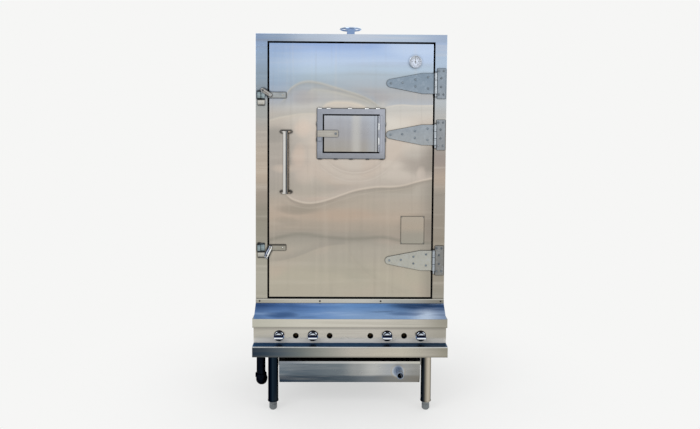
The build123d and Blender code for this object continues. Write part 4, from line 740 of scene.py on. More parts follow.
zinc_straps = zinc_hinge("zinc_straps", [
    (0.66, "b7b6ac"), (0.78, "b2b2aa"), (1.28, "a1a6a9"), (1.38, "9aa2aa"), (1.62, "8797a6")])
zinc_plates = zinc_hinge("zinc_plates", [
    (0.64, "84837f"), (0.78, "878784"), (1.26, "929598"), (1.40, "92989d"), (1.64, "8d99a4")])


def nearer_latch():
    """Height in metres above the nearer of the two latches."""
    up = along("Z")
    is_upper = calculate("GREATER_THAN", up, 0.5 * sum(latch_heights))
    step = times(is_upper, latch_heights[1] - latch_heights[0])
    return minus(minus(up, latch_heights[0]), step)


def latch_zinc():
    """Latch straps on a grey-beige plating, with painted shadow lines along their edges and end, and above the
    lower strap.
    """
    start("zinc_latches", "a09d96", 1.0, 0.34)
    tint = ramp(along("Z"), [(0.75, "a09b8d"), (0.80, "a19c8f"), (1.48, "a3a6a5"), (1.53, "9da2a4")])
    tint, scuff = crystals(tint, 0.25)
    # Painted shadow: dark lines along the strap's edges and end, and above the lower strap, plus painted shade
    # near other parts.
    edge = remap(gap_to(nearer_latch(), 0.0), 0.0105, 0.0130)
    end = remap(along("X"), -0.3150, -0.3125)
    painted_shading = times(larger(edge, end), 0.50)
    top = times(remap(nearer_latch(), 0.0075, 0.0105), calculate("LESS_THAN", along("Z"), 1.0), 0.85)
    tint = mix(larger(painted_shading, top), tint, "2f2a28")
    return plated(painted_contact_shade(tint, 0.006, 0.6), scuff, 0.34)


def keeper_zinc():
    """Keepers: painted bands of light and shade by height, a grey mouth between two painted shadow lines at the
    bends, over a foot with a painted highlight.
    """
    start("zinc_keepers", "9ba0a0", 1.0, 0.30)
    tint = ramp(nearer_latch(), [
        (-0.0495, "4a4741"), (-0.0455, "57544d"), (-0.0435, "aaa79e"), (-0.034, "b9b7ae"), (-0.0275, "c9c7bf"),
        (-0.0250, "8f8e87"), (-0.0225, "161615"), (-0.0165, "17191a"), (-0.0135, "7f8c8e"), (0.0, "94a3a6"),
        (0.0115, "83949a"), (0.0145, "1d2225"), (0.0215, "2a2f32")])
    tint, scuff = crystals(tint, 0.25)
    return plated(tint, scuff, 0.30)


zinc_latches, zinc_keepers = latch_zinc(), keeper_zinc()
print("plated finishes:", [m.name for m in (zinc_straps, zinc_plates, zinc_latches, zinc_keepers)])

# %% [markdown]
# ## The inspection hatch
# The little hatch in the door stands in a raised frame. Its sheet is greyer than the door's, with one
# soft painted upright band of light, and its piano hinge is a thin barrel on the right with a painted
# highlight.

# %% Hatch finishes
hatch_centre = 0.5 * (hatch_low.z + hatch_high.z)


def hatch_sheet():
    """The hatch door: grey with painted reflections, paler and bluer at the top and on the right, with a soft
    painted upright band of light, painted shade near other parts and in its gap, and a barrel with painted
    light and shade.
    """
    start("stainless_hatch", "aaa9a7", 1.0, 0.26)
    tint = ramp(wavy("Z", 0.05, 5.0), [
        (1.237, "a8a39b"), (1.27, "a7a4a0"), (1.32, "a5a5a8"), (1.37, "aaacb2"), (1.41, "b2b7bf")])
    side = wavy("X", 0.02, 5.0)
    tint = mix(times(window(side, -0.012, 0.022, 0.030, 0.060), 0.55), tint, "cccac4")
    tint = mix(remap(side, 0.062, 0.110, 0.0, 0.30), tint, "b4c0cf")
    tint = mix(times(window(along("X"), 0.1250, 0.1262, 0.1280, 0.1290), 0.8), tint, "2b3036")
    tint = streaks(tint, (24, 1, 1.5), 0.14, "c9c8c6", "8b8985")
    # Painted shade near other parts and in the hatch gap, then painted light and shade on the hinge barrel.
    tint = painted_contact_shade(tint, 0.008, 0.6)
    tint, painted_shade_mask = painted_gap_shade(tint, hatch_low.y + 0.010, 0.005)
    tint = barrel(tint, 0.133, 0.0034, "e6e9ec", "3a4048")
    return polish(tint, "x", 0.24, 0.10, painted_shade_mask=painted_shade_mask)


def hatch_frame_sheet():
    """The raised frame of the hatch: cool grey, dull, darker towards the bottom, with a painted shadow line
    round its outer edges and painted shade near other parts and inside.
    """
    start("stainless_hatch_frame", "999ca3", 1.0, 0.34)
    tint = ramp(wavy("X", 0.03), [(-0.1635, "979ca6"), (0.0, "a2a6b0"), (0.1635, "aaaeb8")])
    tint = mix(remap(along("Z"), 1.26, 1.205, 0.0, 0.6), tint, "86888c")
    tint, scuff = crystals(tint, 0.18, "b9bdc4", "7b7f86")
    # Painted shadow line round the outer edges, then painted shade near other parts and inside.
    rim = larger(remap(gap_to(along("X"), 0.0), 0.1605, 0.1630),
                 remap(gap_to(along("Z"), hatch_centre), 0.1175, 0.1200))
    tint = mix(times(rim, 0.75), tint, "3b3e43")
    tint = painted_contact_shade(tint, 0.006, 0.5)
    tint, painted_shade_mask = painted_gap_shade(tint, -0.2605, 0.006)
    put("Base Color", tint)
    put("Roughness", larger(remap(scuff, 0.3, 0.75, 0.30, 0.42), painted_shade_mask))
    bump((scuff, 0.10, 0.0005))
    return material


stainless_hatch, stainless_hatch_frame = hatch_sheet(), hatch_frame_sheet()
print("hatch centre at", round(hatch_centre, 4), "m")

# %% [markdown]
# ## Chrome, polished bar and enamel
# Chrome mirrors everything, so a chrome knob shows what is around it as flat bands of dark and bright.
# Those bands are painted reflections, drawn by height on the knob itself. The pull handle is a polished
# tube with painted light and shade: pale on its left, dark on its right.

# %% Chrome and polished bar
knob_height = 0.5 * (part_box("knob_1")[0].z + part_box("knob_1")[1].z)


def mirror_chrome(tint, low, high):
    """Finishes a chrome part: faint scratches in its shine."""
    put("Base Color", tint)
    put("Roughness", remap(noise(place(), 90.0, 4.0, 0.6), 0.4, 0.8, low, high))
    return material


def knob_chrome():
    """Chrome knob: painted reflection bands of dark and light by height, and painted dark shade on its upper
    rim and upper sides.
    """
    start("chrome_knobs", "dfe5eb", 1.0, 0.08)
    put("Specular Tint", "0e141f")
    up = minus(along("Z"), knob_height)
    side = gap_to(gap_to(along("X"), 0.0), 0.2575)
    front = ramp(up, [
        (-0.0250, "6b6a66"), (-0.0155, "7d7c76"), (-0.0140, "1c2530"), (-0.0110, "2a3544"), (-0.0095, "e4e9ef"),
        (-0.0030, "f6f8fa"), (0.0005, "dfe6ef"), (0.0022, "2b3a5c"), (0.0062, "22304f"), (0.0084, "e6ecf6"),
        (0.0200, "cfdcf0"), (0.0250, "aebdd6")])
    oval = in_oval(side, up, (0.0805, 0.0070), 0.0192, 0.0128)
    outside = times(remap(oval, 0.90, 1.12), remap(up, 0.0050, 0.0080))
    skirt = times(remap(along("Y", "Normal"), -0.80, -0.55), remap(up, -0.0060, 0.0000))
    return mirror_chrome(mix(larger(outside, skirt), front, "04070d"), 0.06, 0.16)


def lever_chrome(name, pivot_z, slope, stops):
    """Chrome lever: painted reflection stripes along its length, measured across it from the pivot in metres.
    """
    start(name, "ccd6e2", 1.0, 0.10)
    side = times(minus(along("X"), latch_pivot), math.sin(math.radians(slope)))
    rise = times(minus(along("Z"), pivot_z), -math.cos(math.radians(slope)))
    wander = times(noise(place(), 70.0, 1.0), 0.004)
    return mirror_chrome(ramp(plus(plus(side, rise), wander), stops), 0.07, 0.18)


def handle_bar():
    """Polished pull handle with painted light and shade: a pale left side and a dark right side, a painted
    highlight line, and painted shade at its back near the door.
    """
    start("polished_handle", "a9a7a3", 1.0, 0.18)
    facing = along("X", "Normal")
    tint = ramp(facing, [
        (-1.0, "a5a29e"), (-0.75, "c6c4c0"), (-0.35, "dddcd9"), (0.0, "c6c4bf"), (0.25, "8f8e8b"),
        (0.48, "3d4248"), (0.72, "31363c"), (0.88, "9b968f"), (1.0, "b5ada2")])
    tint = mix(remap(along("Y"), -0.2880, -0.2840, 0.0, 0.85), tint, "2b2f34")
    tint = streaks(tint, (8, 8, 5), 0.15, "dcdad6", "4a4d50")
    return polish(tint, "z", 0.18, 0.1)


def bezel_steel():
    """Thermometer case: a rolled bezel with a painted highlight, and painted shade on its lower left and in
    dark rings round its edge.
    """
    start("polished_bezel", "b9c0c9", 1.0, 0.16)
    tint = ramp(along("Z", "Normal"), [
        (-1.0, "6b7481"), (-0.3, "98a1ad"), (0.1, "ccd2da"), (0.6, "e3e8ee"), (1.0, "aab5c4")])
    ring = round_distance(*dial_centre)
    tint = mix(times(window(ring, 0.0252, 0.0262, 0.0280, 0.0290), 0.35), tint, "4b5a70")
    tint = mix(remap(ring, 0.0290, 0.0299, 0.0, 0.20), tint, "414d5e")
    return polish(tint, "x", 0.16, 0.05)


chrome_knobs = knob_chrome()
chrome_lower_lever = lever_chrome("chrome_lower_lever", latch_heights[0], 64, [
    (-0.0085, "1a2645"), (-0.0050, "2c3e66"), (-0.0035, "c3cede"), (-0.0015, "d9e0e8"), (0.0005, "22325a"),
    (0.0030, "31436c"), (0.0045, "e6eaee"), (0.0080, "f6f6f3"), (0.0120, "b9bcbc")])
chrome_upper_lever = lever_chrome("chrome_upper_lever", latch_heights[1], -31, [
    (-0.0085, "6f6f6d"), (-0.0045, "9b9a97"), (-0.0015, "b4b2ae"), (0.0010, "96938f"), (0.0035, "6f6c69"),
    (0.0060, "a19e99"), (0.0110, "7c7976")])
polished_handle, polished_bezel = handle_bar(), bezel_steel()
print("knob centre at", round(knob_height, 4), "m")

# %% [markdown]
# ## Brushed steel, brass, pipe, wool and paint
# The smaller parts are either brushed steel, with long fine lines that all run one way, or have a
# matt mottled coat. Two recipes serve for all of them, each with its own colours and grain.

# %% Brushed steel and matt coats
def brushed(name, base, dark, light, axis="x", roughness=0.32):
    """Brushed steel: long fine lines that change both shade and shine."""
    start(name, base, 1.0, roughness)
    lines = rolled_lines(axis)
    cloud = noise(place(), 5.0, 3.0, 0.55)
    shade = plus(times(lines, 0.4), times(cloud, 0.6))
    put("Base Color", ramp(shade, [(0.3, dark), (0.5, base), (0.7, light)]))
    put("Roughness", remap(lines, 0.3, 0.7, roughness - 0.06, roughness + 0.10))
    put("Anisotropic", 0.35)
    bump((lines, 0.10, 0.0004))
    return material


def rough_coat(name, base, dark, light, scale, roughness, height=0.0008, strength=0.4):
    """A matt surface with mottled shade and a fine relief."""
    start(name, base, 0.0, roughness)
    grain = noise(place(), scale, 6.0, 0.65)
    put("Base Color", ramp(grain, [(0.3, dark), (0.5, base), (0.72, light)]))
    put("Roughness", remap(grain, 0.3, 0.7, roughness - 0.08, roughness + 0.08))
    bump((grain, strength, height))
    return material


plain_steel = brushed("brushed_steel", "a3a29d", "8b8b88", "bab8b1", "x", 0.34)
foot_steel = brushed("zinc_feet", "7f8486", "5f6567", "a0a5a7", "z", 0.34)
# The hand wheel and the roof parts are tinted blue: a painted sky reflection.
wheel_chrome = brushed("chrome_handwheel", "b9c7da", "64748c", "e2eaf3", "z", 0.16)
roof_steel = brushed("roof_steel", "8098bd", "4a638c", "bccbe2", "x", 0.28)
latch_steel = brushed("hatch_latch_steel", "aaa69e", "9a968f", "bbb8b1", "x", 0.32)
screw_steel = brushed("screw_steel", "727980", "484f57", "a3a9af", "z", 0.30)
zinc_screws = brushed("zinc_screws", "818b94", "59626b", "a9b1b8", "z", 0.30)
rivet_steel = brushed("rivet_steel", "c4c2bb", "a5a39c", "dddbd5", "z", 0.24)
dark_screw_steel = brushed("dark_screw_steel", "4c4b48", "2b2a28", "84827d", "z", 0.34)
# The brass valves are painted nearly black: painted shade, for the dark inside of the base.
brass = brushed("brass_valves", "2c2417", "171208", "4a3c22", "z", 0.50)
hot_steel = brushed("heat_stained_steel", "4b433c", "2e2925", "6a5b50", "x", 0.48)
black_pipe = rough_coat("black_pipe", "0d121b", "060910", "161d29", 120.0, 0.50)
put("Metallic", 1.0)
put("Specular Tint", "26303c")
wool = rough_coat("mineral_wool", "a39663", "857a4c", "bdb07c", 60.0, 0.95, 0.004, 0.8)
enamel = rough_coat("dial_enamel", "d2daea", "c8d2e4", "dce3f0", 30.0, 0.35, 0.0001, 0.1)
needle_black = rough_coat("needle_paint", "1b1d22", "121419", "2a2d33", 200.0, 0.4, 0.0001)
dial_ink = rough_coat("dial_ink", "23262c", "191c21", "33373e", 300.0, 0.5, 0.0001)


def plate_sheet():
    """The bare rating plate: colours like the door's painted reflection inside a thin dark printed border."""
    start("rating_plate_steel", "aaa399", 1.0, 0.26)
    tint = ramp(wavy("Z", 0.05), [(0.79, "a5a195"), (0.83, "a6a094"), (0.87, "b4a899"), (0.93, "b5ab9d")])
    low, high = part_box("rating_plate")
    middle, half = 0.5 * (low + high), 0.5 * (high - low)
    to_side = gap_to(along("X"), middle.x)
    to_top = gap_to(along("Z"), middle.z)
    rim = larger(minus(to_side, half.x), minus(to_top, half.z))
    tint = mix(times(window(rim, -0.0042, -0.0032, -0.0012, -0.0004), 0.8), tint, "4b463f")
    return polish(tint, "x", 0.26, 0.1)


plate_steel = plate_sheet()


def rope():
    """Braided rope: crossed slanting ribs, worked out from two waves."""
    start("rope_seal", "141517", 0.0, 0.9)
    turned = [place(turn=(0, side * math.radians(45), 0)) for side in (-1, 1)]
    ribs = [add("ShaderNodeTexWave", {"Vector": v, "Scale": 95.0, "Distortion": 1.0}).outputs["Fac"]
            for v in turned]
    braid = larger(*ribs)
    put("Base Color", ramp(braid, [(0.0, "070708"), (1.0, "232426")]))
    bump((braid, 0.5, 0.0015))
    return material


rope_seal = rope()
glass = start("clear_glass", "f2f7fa", 0.0, 0.03)
put("Alpha", 0.10)
put("IOR", 1.45)
put("Roughness", remap(noise(place(), 40.0, 3.0, 0.6), 0.4, 0.8, 0.02, 0.10))
print("finishes made:", len(bpy.data.materials))

# %% [markdown]
# ## Dressing the CAD pieces
# Each CAD node keeps its shape and gets its finish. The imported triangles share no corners, so a small
# geometry group on each node merges them and marks only the sharp edges as sharp. A Weighted Normal
# modifier then lets the large flat faces rule the shading, so that a sheet stays flat right up to its
# rounded edge. The node's own mesh stays as it is.

# %% Smooth curves, sharp edges
def smoothing_group():
    """A node group that merges corners and shades everything smooth but the sharp edges."""
    group = bpy.data.node_groups.new("smooth_but_sharp", "GeometryNodeTree")
    use(group)
    for direction in ("INPUT", "OUTPUT"):
        group.interface.new_socket("Geometry", in_out=direction, socket_type="NodeSocketGeometry")
    source = add("NodeGroupInput").outputs[0]
    merged = add("GeometryNodeMergeByDistance", {"Geometry": source, "Distance": 0.00002}).outputs[0]
    smooth = add("GeometryNodeSetShadeSmooth", {"Geometry": merged, "Shade Smooth": True}, domain="FACE")
    angle = add("GeometryNodeInputMeshEdgeAngle").outputs["Unsigned Angle"]
    limit = math.radians(38)
    sharp = add("FunctionNodeCompare", {0: angle, 1: limit}, data_type="FLOAT", operation="GREATER_THAN")
    inputs = {"Geometry": smooth.outputs[0], "Selection": sharp.outputs[0], "Shade Smooth": False}
    done = add("GeometryNodeSetShadeSmooth", inputs, domain="EDGE")
    add("NodeGroupOutput", {0: done.outputs[0]})
    return group


smoothing = smoothing_group()


def dress(finish, *names):
    """Gives CAD nodes a finish and clean shading."""
    for name in names:
        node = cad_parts[name]
        node.data.materials.clear()
        node.data.materials.append(finish)
        node.modifiers.new("smooth", "NODES").node_group = smoothing
        flat = node.modifiers.new("flat faces rule", "WEIGHTED_NORMAL")
        flat.mode = "FACE_AREA"
        flat.keep_sharp = True
        flat.weight = 90


dress(stainless_frame, "face_frame")
dress(stainless_sill, "sill_trim")
dress(stainless_hatch, "hatch_door")
dress(stainless_hatch_frame, "hatch_frame")
dress(latch_steel, "hatch_latch")
dress(stainless_sides, "side_panels", "back_panel", "roof_panel", "base_sides", "base_back", "base_rails")
dress(stainless_rail, "rim_rail")
dress(stainless_panel, "control_panel")
dress(stainless_ledge, "ledge_shelf")
dress(stainless_apron, "front_apron")
dress(stainless_door, "door_skin")
dress(stainless_inside, "liner_sides", "liner_back", "liner_top", "door_liner")
dress(zinc_straps, "hinge_straps", "hinge_pins")
dress(zinc_plates, "hinge_plates")
dress(zinc_latches, "latch_straps")
dress(zinc_keepers, "latch_keepers")
dress(chrome_lower_lever, "latch_arm_lower")
dress(chrome_upper_lever, "latch_arm_upper")
dress(chrome_knobs, "knob_1", "knob_2", "knob_3", "knob_4")
dress(wheel_chrome, "handwheel")
dress(polished_handle, "door_handle")
dress(polished_bezel, "thermometer_case")
dress(stainless_pan, "drip_pan")
dress(stainless_legs, "legs")
dress(foot_steel, "foot_front_left", "foot_front_right", "foot_rear_left", "foot_rear_right")
dress(plain_steel, "rod_rails", "hanging_rods", "chip_tray", "pan_runners")
dress(roof_steel, "flue_collar", "flue_cover", "damper_bridge")
dress(plate_steel, "rating_plate")
dress(black_pipe, "gas_inlet", "gas_manifold", "burners")
dress(brass, "gas_valves")
dress(hot_steel, "burner_supports", "burner_shields")
dress(wool, "insulation", "door_core")
dress(rope_seal, "door_gasket")
dress(enamel, "thermometer_dial")
dress(needle_black, "thermometer_pointer")
dress(glass, "thermometer_glass")
bare = [name for name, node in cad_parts.items() if not node.modifiers]
print("nodes without a finish:", bare)

# %% [markdown]
# ## Screws and rivets
# The real oven is held together by screws and rivets that are too small for the CAD. One screw is
# modelled: a cylinder whose front rim is bevelled into a low dome, with a slot let into it. It is
# then copied to every place, each time with a mesh of its own, and the copies of one row are joined.

# %% Selecting, copying and joining
import bmesh

to_front = (math.radians(90), 0, 0)


def apply_place():
    """Writes the place and turn of the chosen piece into its mesh."""
    bpy.ops.object.transform_apply(location=True, rotation=True, scale=True)


def select_only(*pieces):
    """Selects these pieces and nothing else; the first one becomes active."""
    bpy.ops.object.select_all(action="DESELECT")
    for piece in pieces:
        piece.select_set(True)
    bpy.context.view_layer.objects.active = pieces[0]


def opened(name):
    """Names the piece that was just added, applies its place and opens it for editing."""
    piece = bpy.context.object
    piece.name = piece.data.name = name
    apply_place()
    bpy.ops.object.mode_set(mode="EDIT")
    return piece


def select_faces(piece, test):
    """In edit mode, selects the faces for which the test is true."""
    bpy.ops.mesh.select_mode(type="FACE")
    bpy.ops.mesh.select_all(action="DESELECT")
    mesh = bmesh.from_edit_mesh(piece.data)
    for face in mesh.faces:
        face.select_set(bool(test(face)))
    bmesh.update_edit_mesh(piece.data)


def finish_mesh(piece, angle=35):
    """Closes the edit: outward normals, smooth curves and sharp edges."""
    bpy.ops.mesh.select_all(action="SELECT")
    bpy.ops.mesh.normals_make_consistent(inside=False)
    bpy.ops.object.mode_set(mode="OBJECT")
    select_only(piece)
    bpy.ops.object.shade_smooth_by_angle(angle=math.radians(angle))
    return piece


def joined(copies, name, body, slot, finish):
    """Joins copies into one piece with a name and a finish, which rides on a body."""
    select_only(*copies)
    if len(copies) > 1:
        bpy.ops.object.join()
    whole = bpy.context.object
    whole.name = whole.data.name = name
    whole.data.materials.clear()
    whole.data.materials.append(finish)
    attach(whole, body)
    print(name, "x", len(copies), "on", body)


def row_of(pattern, name, places, *dressing):
    """Copies a pattern to each place and joins the copies. A place is a point and a turn about Y."""
    copies = []
    for point, spin in places:
        select_only(pattern)
        bpy.ops.object.duplicate(linked=False)
        piece = bpy.context.object
        piece.rotation_euler = (0, math.radians(spin), 0)
        piece.location = point
        apply_place()
        copies.append(piece)
    joined(copies, name, *dressing)


def remove(*patterns):
    """Takes the patterns away once they have been copied."""
    for pattern in patterns:
        bpy.data.objects.remove(pattern, do_unlink=True)


# %% One slotted screw
def slotted_screw(name, radius, height, slot_width):
    """A domed screw head with a slot, standing on the plane y = 0 and facing the front."""
    bpy.ops.mesh.primitive_cylinder_add(
        vertices=24, radius=radius, depth=height, location=(0, -height / 2, 0), rotation=to_front)
    piece = opened(name)
    select_faces(piece, lambda face: face.normal.y < -0.9)
    bpy.ops.mesh.bevel(offset=height * 0.62, segments=4, profile=0.5, affect="EDGES")
    for side in (-1, 1):
        bpy.ops.mesh.select_all(action="SELECT")
        bpy.ops.mesh.bisect(plane_co=(0, 0, side * slot_width / 2), plane_no=(0, 0, 1))
    select_faces(piece, lambda face: face.normal.y < -0.9 and abs(face.calc_center_median().z) < slot_width / 2)
    bpy.ops.mesh.extrude_region_move(TRANSFORM_OT_translate={"value": (0, height * 0.45, 0)})
    return finish_mesh(piece)


screw = slotted_screw("screw_pattern", 0.0045, 0.0020, 0.0011)
print("screw:", len(screw.data.polygons), "faces")

# %% [markdown]
# Each T-hinge has six screws in its strap, near the root, in the middle and at the tip, and a row of
# screws in its plate. The straps are set by their own heights on the door.

# %% Screws on hinges and sill
def hinge_screws(name, spots, front, first_turn, turn_step, body, finish):
    """The same spots on all three hinges, each screw left at its own turn."""
    places = [((x, front, height + up), first_turn + turn_step * index)
              for height in hinge_heights for index, (x, up) in enumerate(spots)]
    row_of(screw, name, places, body, "galvanised", finish)


strap_spots = [(0.189, 0.0), (0.245, 0.003), (0.306, 0.0185), (0.306, -0.0145), (0.367, 0.030),
               (0.367, -0.024)]
plate_spots = [(0.4185, 0.060), (0.4415, 0.060), (0.4300, 0.026), (0.4300, -0.016), (0.4190, -0.052),
               (0.4415, -0.052)]
hinge_screws("hinge_strap_screws", strap_spots, strap_high.y - 0.003, 20, 47, "main_door", zinc_screws)
hinge_screws("hinge_plate_screws", plate_spots, plate_high.y - 0.003, 65, 31, "cabinet", screw_steel)
sill_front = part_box("sill_trim")[0].y
sill_places = [((x, sill_front, 0.5105), spin)
               for x, spin in ((-0.438, 10), (-0.146, 70), (0.149, 35), (0.441, 120))]
row_of(screw, "sill_screws", sill_places, "cabinet", "stainless", dark_screw_steel)

# %% [markdown]
# The rating plate and the latch straps are riveted, and the hatch latch turns on a slotted screw. A blind rivet
# is a low dome with
# a small dimple where its pin broke off: the dome comes from a bevel and the dimple from an inset.

# %% One blind rivet
def blind_rivet(name, radius, height):
    """A blind rivet head on the plane y = 0, facing the front."""
    bpy.ops.mesh.primitive_cylinder_add(
        vertices=20, radius=radius, depth=height, location=(0, -height / 2, 0), rotation=to_front)
    piece = opened(name)
    select_faces(piece, lambda face: face.normal.y < -0.9)
    bpy.ops.mesh.bevel(offset=height * 0.75, segments=4, profile=0.5, affect="EDGES")
    select_faces(piece, lambda face: face.normal.y < -0.99 and len(face.verts) > 8)
    bpy.ops.mesh.inset(thickness=radius * 0.22, depth=0.0)
    bpy.ops.mesh.extrude_region_move(TRANSFORM_OT_translate={"value": (0, height * 0.5, 0)})
    return finish_mesh(piece)


small_rivet = blind_rivet("small_rivet_pattern", 0.0022, 0.0012)
large_rivet = blind_rivet("large_rivet_pattern", 0.0043, 0.0036)
pivot = slotted_screw("pivot_pattern", 0.0062, 0.0036, 0.0014)
plate_inset, plate_ends = 0.006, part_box("rating_plate")
corners = [((x, plate_ends[0].y, z), 0) for x in (plate_ends[0].x + plate_inset, plate_ends[1].x - plate_inset)
           for z in (plate_ends[0].z + plate_inset, plate_ends[1].z - plate_inset)]
row_of(small_rivet, "rating_plate_rivets", corners, "main_door", "stainless", screw_steel)
strap_rivets = [((-0.327, face_y, z), 0) for z in latch_heights]
row_of(large_rivet, "latch_strap_rivets", strap_rivets, "main_door", "galvanised", rivet_steel)
pivot_place = (-0.074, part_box("hatch_latch")[0].y, hatch_centre)
row_of(pivot, "hatch_latch_pivot", [(pivot_place, 25)], "hatch_strap", "stainless", screw_steel)
remove(screw, small_rivet, large_rivet, pivot)

# %% [markdown]
# ## Weld beads round the hatch frame
# The hatch frame is stitched to the door with short welds, painted bright like drops along its top edge and
# dark along its bottom edge.
# A bead starts as a slim cylinder. Bisecting it gives rings, and every second ring is drawn in, so it
# gets the ripples that a weld pool leaves.

# %% Weld beads
def weld_bead(name, length, radius, rings=9):
    """A rippled bead along X, centred on the origin."""
    bpy.ops.mesh.primitive_cylinder_add(
        vertices=14, radius=radius, depth=length, rotation=(0, math.radians(90), 0))
    piece = opened(name)
    for index in range(1, rings):
        bpy.ops.mesh.select_all(action="SELECT")
        bpy.ops.mesh.bisect(plane_co=(length * (index / rings - 0.5), 0, 0), plane_no=(1, 0, 0))
    bpy.ops.mesh.select_mode(type="VERT")
    for index in range(rings + 1):
        where = length * (index / rings - 0.5)
        bpy.ops.mesh.select_all(action="DESELECT")
        mesh = bmesh.from_edit_mesh(piece.data)
        for vertex in mesh.verts:
            vertex.select_set(abs(vertex.co.x - where) < length * 0.02)
        bmesh.update_edit_mesh(piece.data)
        size = 0.45 if index in (0, rings) else (0.80 if index % 2 else 1.0)
        bpy.ops.transform.resize(value=(1.0, size, size), center_override=(where, 0, 0))
    return finish_mesh(piece, 60)


bead = weld_bead("weld_pattern", 0.019, 0.0033)
flange_low, flange_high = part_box("hatch_frame")
bead_y = -0.2586
bead_places = [((x, bead_y, flange_high.z), 0) for x in (-0.150, -0.108, -0.006, 0.075, 0.128)]
bead_places += [((x, bead_y, flange_low.z), 0) for x in (-0.150, -0.074, 0.0, 0.079, 0.148)]
bead_places += [((x, bead_y, z), 90) for x in (flange_low.x, flange_high.x) for z in (1.370, 1.294)]
bead_metal = start("weld_beads", "c9cdd2", 1.0, 0.24)
# Painted light and shade by height: the beads along the top are painted bright, those along the bottom dark.
bead_tint = ramp(along("Z"), [
    (flange_low.z, "3a3d42"), (flange_low.z + 0.012, "73777c"), (hatch_centre, "4f5359"),
    (flange_high.z - 0.02, "8b8f93"), (flange_high.z - 0.004, "e9ebec"), (flange_high.z, "f6f7f7")])
bead_heat = noise(place(), 240.0, 3.0, 0.6)
put("Base Color", mix(remap(bead_heat, 0.55, 0.8, 0.0, 0.5), bead_tint, "8b7f6c"))
bump((bead_heat, 0.2, 0.0004))
row_of(bead, "hatch_frame_welds", bead_places, "main_door", "stainless", bead_metal)
remove(bead)

# %% [markdown]
# ## Dial marks
# The thermometer's face carries plain marks and numbers. A mark is a thin bar that tapers towards the
# centre. Its place on the scale is a turn about the dial's centre. The numbers are Text objects,
# turned to meshes, because only a mesh keeps its shape when it is exported.

# %% Marks and numbers
dial_low, dial_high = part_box("thermometer_dial")
dial_x, dial_z = 0.5 * (dial_low.x + dial_high.x), 0.5 * (dial_low.z + dial_high.z)
dial_front = dial_low.y
first_turn, step_turn = -135, 27


def dial_mark(name, length, width, outer):
    """One tapered mark at the top of a dial that is centred on the origin."""
    bpy.ops.mesh.primitive_cube_add(
        size=1.0, location=(0, -0.00006, outer - length / 2), scale=(width, 0.00012, length))
    piece = opened(name)
    select_faces(piece, lambda face: face.normal.z < -0.9)
    bpy.ops.transform.resize(value=(0.45, 1, 1))
    return finish_mesh(piece, 30)


def marks(name, length, width, turns):
    """A ring of marks round the dial's centre."""
    mark = dial_mark("mark_pattern", length, width, 0.0248)
    places = [((dial_x, dial_front, dial_z), turn) for turn in turns]
    row_of(mark, name, places, "main_door", "pointer_black", dial_ink)
    remove(mark)


marks("dial_long_marks", 0.0042, 0.00085, [first_turn + step_turn * step for step in range(11)])
short_turns = [first_turn + step_turn / 5 * step for step in range(51) if step % 5]
marks("dial_short_marks", 0.0022, 0.00045, short_turns)

numbers = []
for step in range(0, 11, 2):
    angle = math.radians(first_turn + step_turn * step)
    point = (dial_x + 0.0172 * math.sin(angle), dial_front - 0.00003, dial_z + 0.0172 * math.cos(angle))
    bpy.ops.object.select_all(action="DESELECT")
    bpy.ops.object.text_add(location=point, rotation=to_front)
    text = bpy.context.object.data
    text.body = str(50 * step)
    text.size = 0.0058
    text.align_x = text.align_y = "CENTER"
    text.extrude = 0.00005
    bpy.ops.object.convert(target="MESH")
    apply_place()
    numbers.append(bpy.context.object)
joined(numbers, "dial_numbers", "main_door", "pointer_black", dial_ink)

# %% [markdown]
# ## Split rings on the latches
# A split ring hangs in the eye of each latch lever, so that the lever can be pulled with a finger or
# a hook. It is a wire wound twice round: a small circle swept by a Screw modifier, which turns it two
# times while it rises by one wire width. The ring is turned half sideways, and it's small enough to
# swing behind the lip of the keeper together with the lever.

# %% Split rings
def split_ring(name, radius, wire, turn):
    """Two turns of wire with closed ends, centred on the origin and turned sideways."""
    bpy.ops.mesh.primitive_circle_add(vertices=10, radius=wire, location=(radius, -wire, 0))
    piece = bpy.context.object
    piece.name = piece.data.name = name
    apply_place()
    sweep = piece.modifiers.new("two turns", "SCREW")
    sweep.axis = "Y"
    sweep.angle = math.radians(700)
    sweep.screw_offset = 2 * wire
    sweep.steps = sweep.render_steps = 72
    bpy.ops.object.modifier_apply(modifier=sweep.name)
    bpy.ops.object.mode_set(mode="EDIT")
    bpy.ops.mesh.select_mode(type="EDGE")
    bpy.ops.mesh.select_all(action="DESELECT")
    bpy.ops.mesh.select_non_manifold()
    bpy.ops.mesh.fill()
    finish_mesh(piece, 50)
    piece.rotation_euler = (0, 0, math.radians(turn))
    apply_place()
    return piece


ring = split_ring("ring_pattern", 0.0078, 0.00065, 31)
ring_metal = brushed("split_rings", "d3dae2", "8a95a3", "f0f3f6", "z", 0.16)
for name, eye_x, eye_z in (("lower", -0.4044, 0.7343), ("upper", -0.4220, 1.5276)):
    hanging = [((eye_x, -0.26395, eye_z - 0.0068), 0)]
    row_of(ring, name + "_split_ring", hanging, name + "_latch", "chrome", ring_metal)
remove(ring)

# %% [markdown]
# ## Studio
# A pale floor, two large soft lamps and an even white world. Further out, the floor turns into the
# white of the world for the camera and for shiny metal, so no horizon shows, while near the oven it
# stays a real floor that keeps the oven's shadow.

# %% Floor
backdrop_white = "f6f6f5"


def seen_directly():
    """1 for rays from the camera, from shiny surfaces and through glass, else 0."""
    path = add("ShaderNodeLightPath").outputs
    return larger(larger(path["Is Camera Ray"], path["Is Glossy Ray"]), path["Is Transmission Ray"])


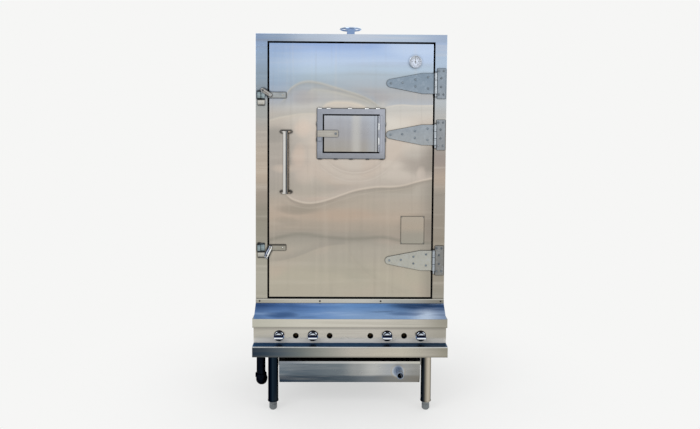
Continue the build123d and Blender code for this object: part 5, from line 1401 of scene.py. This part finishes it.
bpy.ops.object.select_all(action="DESELECT")
bpy.ops.mesh.primitive_plane_add(size=30.0, location=(0, 0, 0))
floor = bpy.context.object
floor.name = "floor"
floor_finish = start("pale_floor", "f1f1f0", 0.0, 0.9)
put("Base Color", ramp(noise(place(), 2.0, 2.0), [(0.3, "f0f0ef"), (0.7, "f4f4f3")]))
distance = add("ShaderNodeVectorMath", {0: place((1, 1, 0))}, operation="LENGTH").outputs["Value"]
far = times(remap(distance, 0.45, 1.5, 0.60, 1.0), seen_directly())
white = add("ShaderNodeEmission", {"Color": backdrop_white, "Strength": 1.0})
blend = add("ShaderNodeMixShader", {0: far, 1: shader.outputs[0], 2: white.outputs[0]})
fill(tree.nodes["Material Output"].inputs["Surface"], blend.outputs[0])
floor.data.materials.append(floor_finish)

# %% World and lamps
world = bpy.data.worlds.new("studio")
bpy.context.scene.world = world
world.use_nodes = True
world.node_tree.nodes.clear()
use(world.node_tree)
glossy = add("ShaderNodeLightPath").outputs["Is Glossy Ray"]
bright = add("ShaderNodeBackground", {"Color": mix(glossy, backdrop_white, "ffffff"), "Strength": 1.0})
ambient = add("ShaderNodeBackground", {"Color": "f6f7f9", "Strength": 0.85})
both = add("ShaderNodeMixShader", {0: seen_directly(), 1: ambient.outputs[0], 2: bright.outputs[0]})
add("ShaderNodeOutputWorld", {"Surface": both.outputs[0]})


def lamp(name, location, target, size, power, tint="ffffff"):
    """A large square soft lamp that points at a target."""
    data = bpy.data.lights.new(name, "AREA")
    data.shape = "SQUARE"
    data.size = size
    data.energy = power
    data.color = colour(tint)[:3]
    item = bpy.data.objects.new(name, data)
    bpy.context.scene.collection.objects.link(item)
    direction = Vector(target) - Vector(location)
    item.matrix_world = Matrix.Translation(location) @ direction.to_track_quat("-Z", "Y").to_matrix().to_4x4()


lamp("key_lamp", (-2.6, -3.4, 3.6), (0, 0, 0.9), 2.6, 60)
lamp("fill_lamp", (3.2, -3.0, 2.2), (0, 0, 0.9), 2.4, 30)
lamp("back_lamp", (0.5, 3.2, 3.4), (0, 0, 1.0), 2.4, 20)
bpy.context.scene.view_settings.view_transform = "Standard"

# %% [markdown]
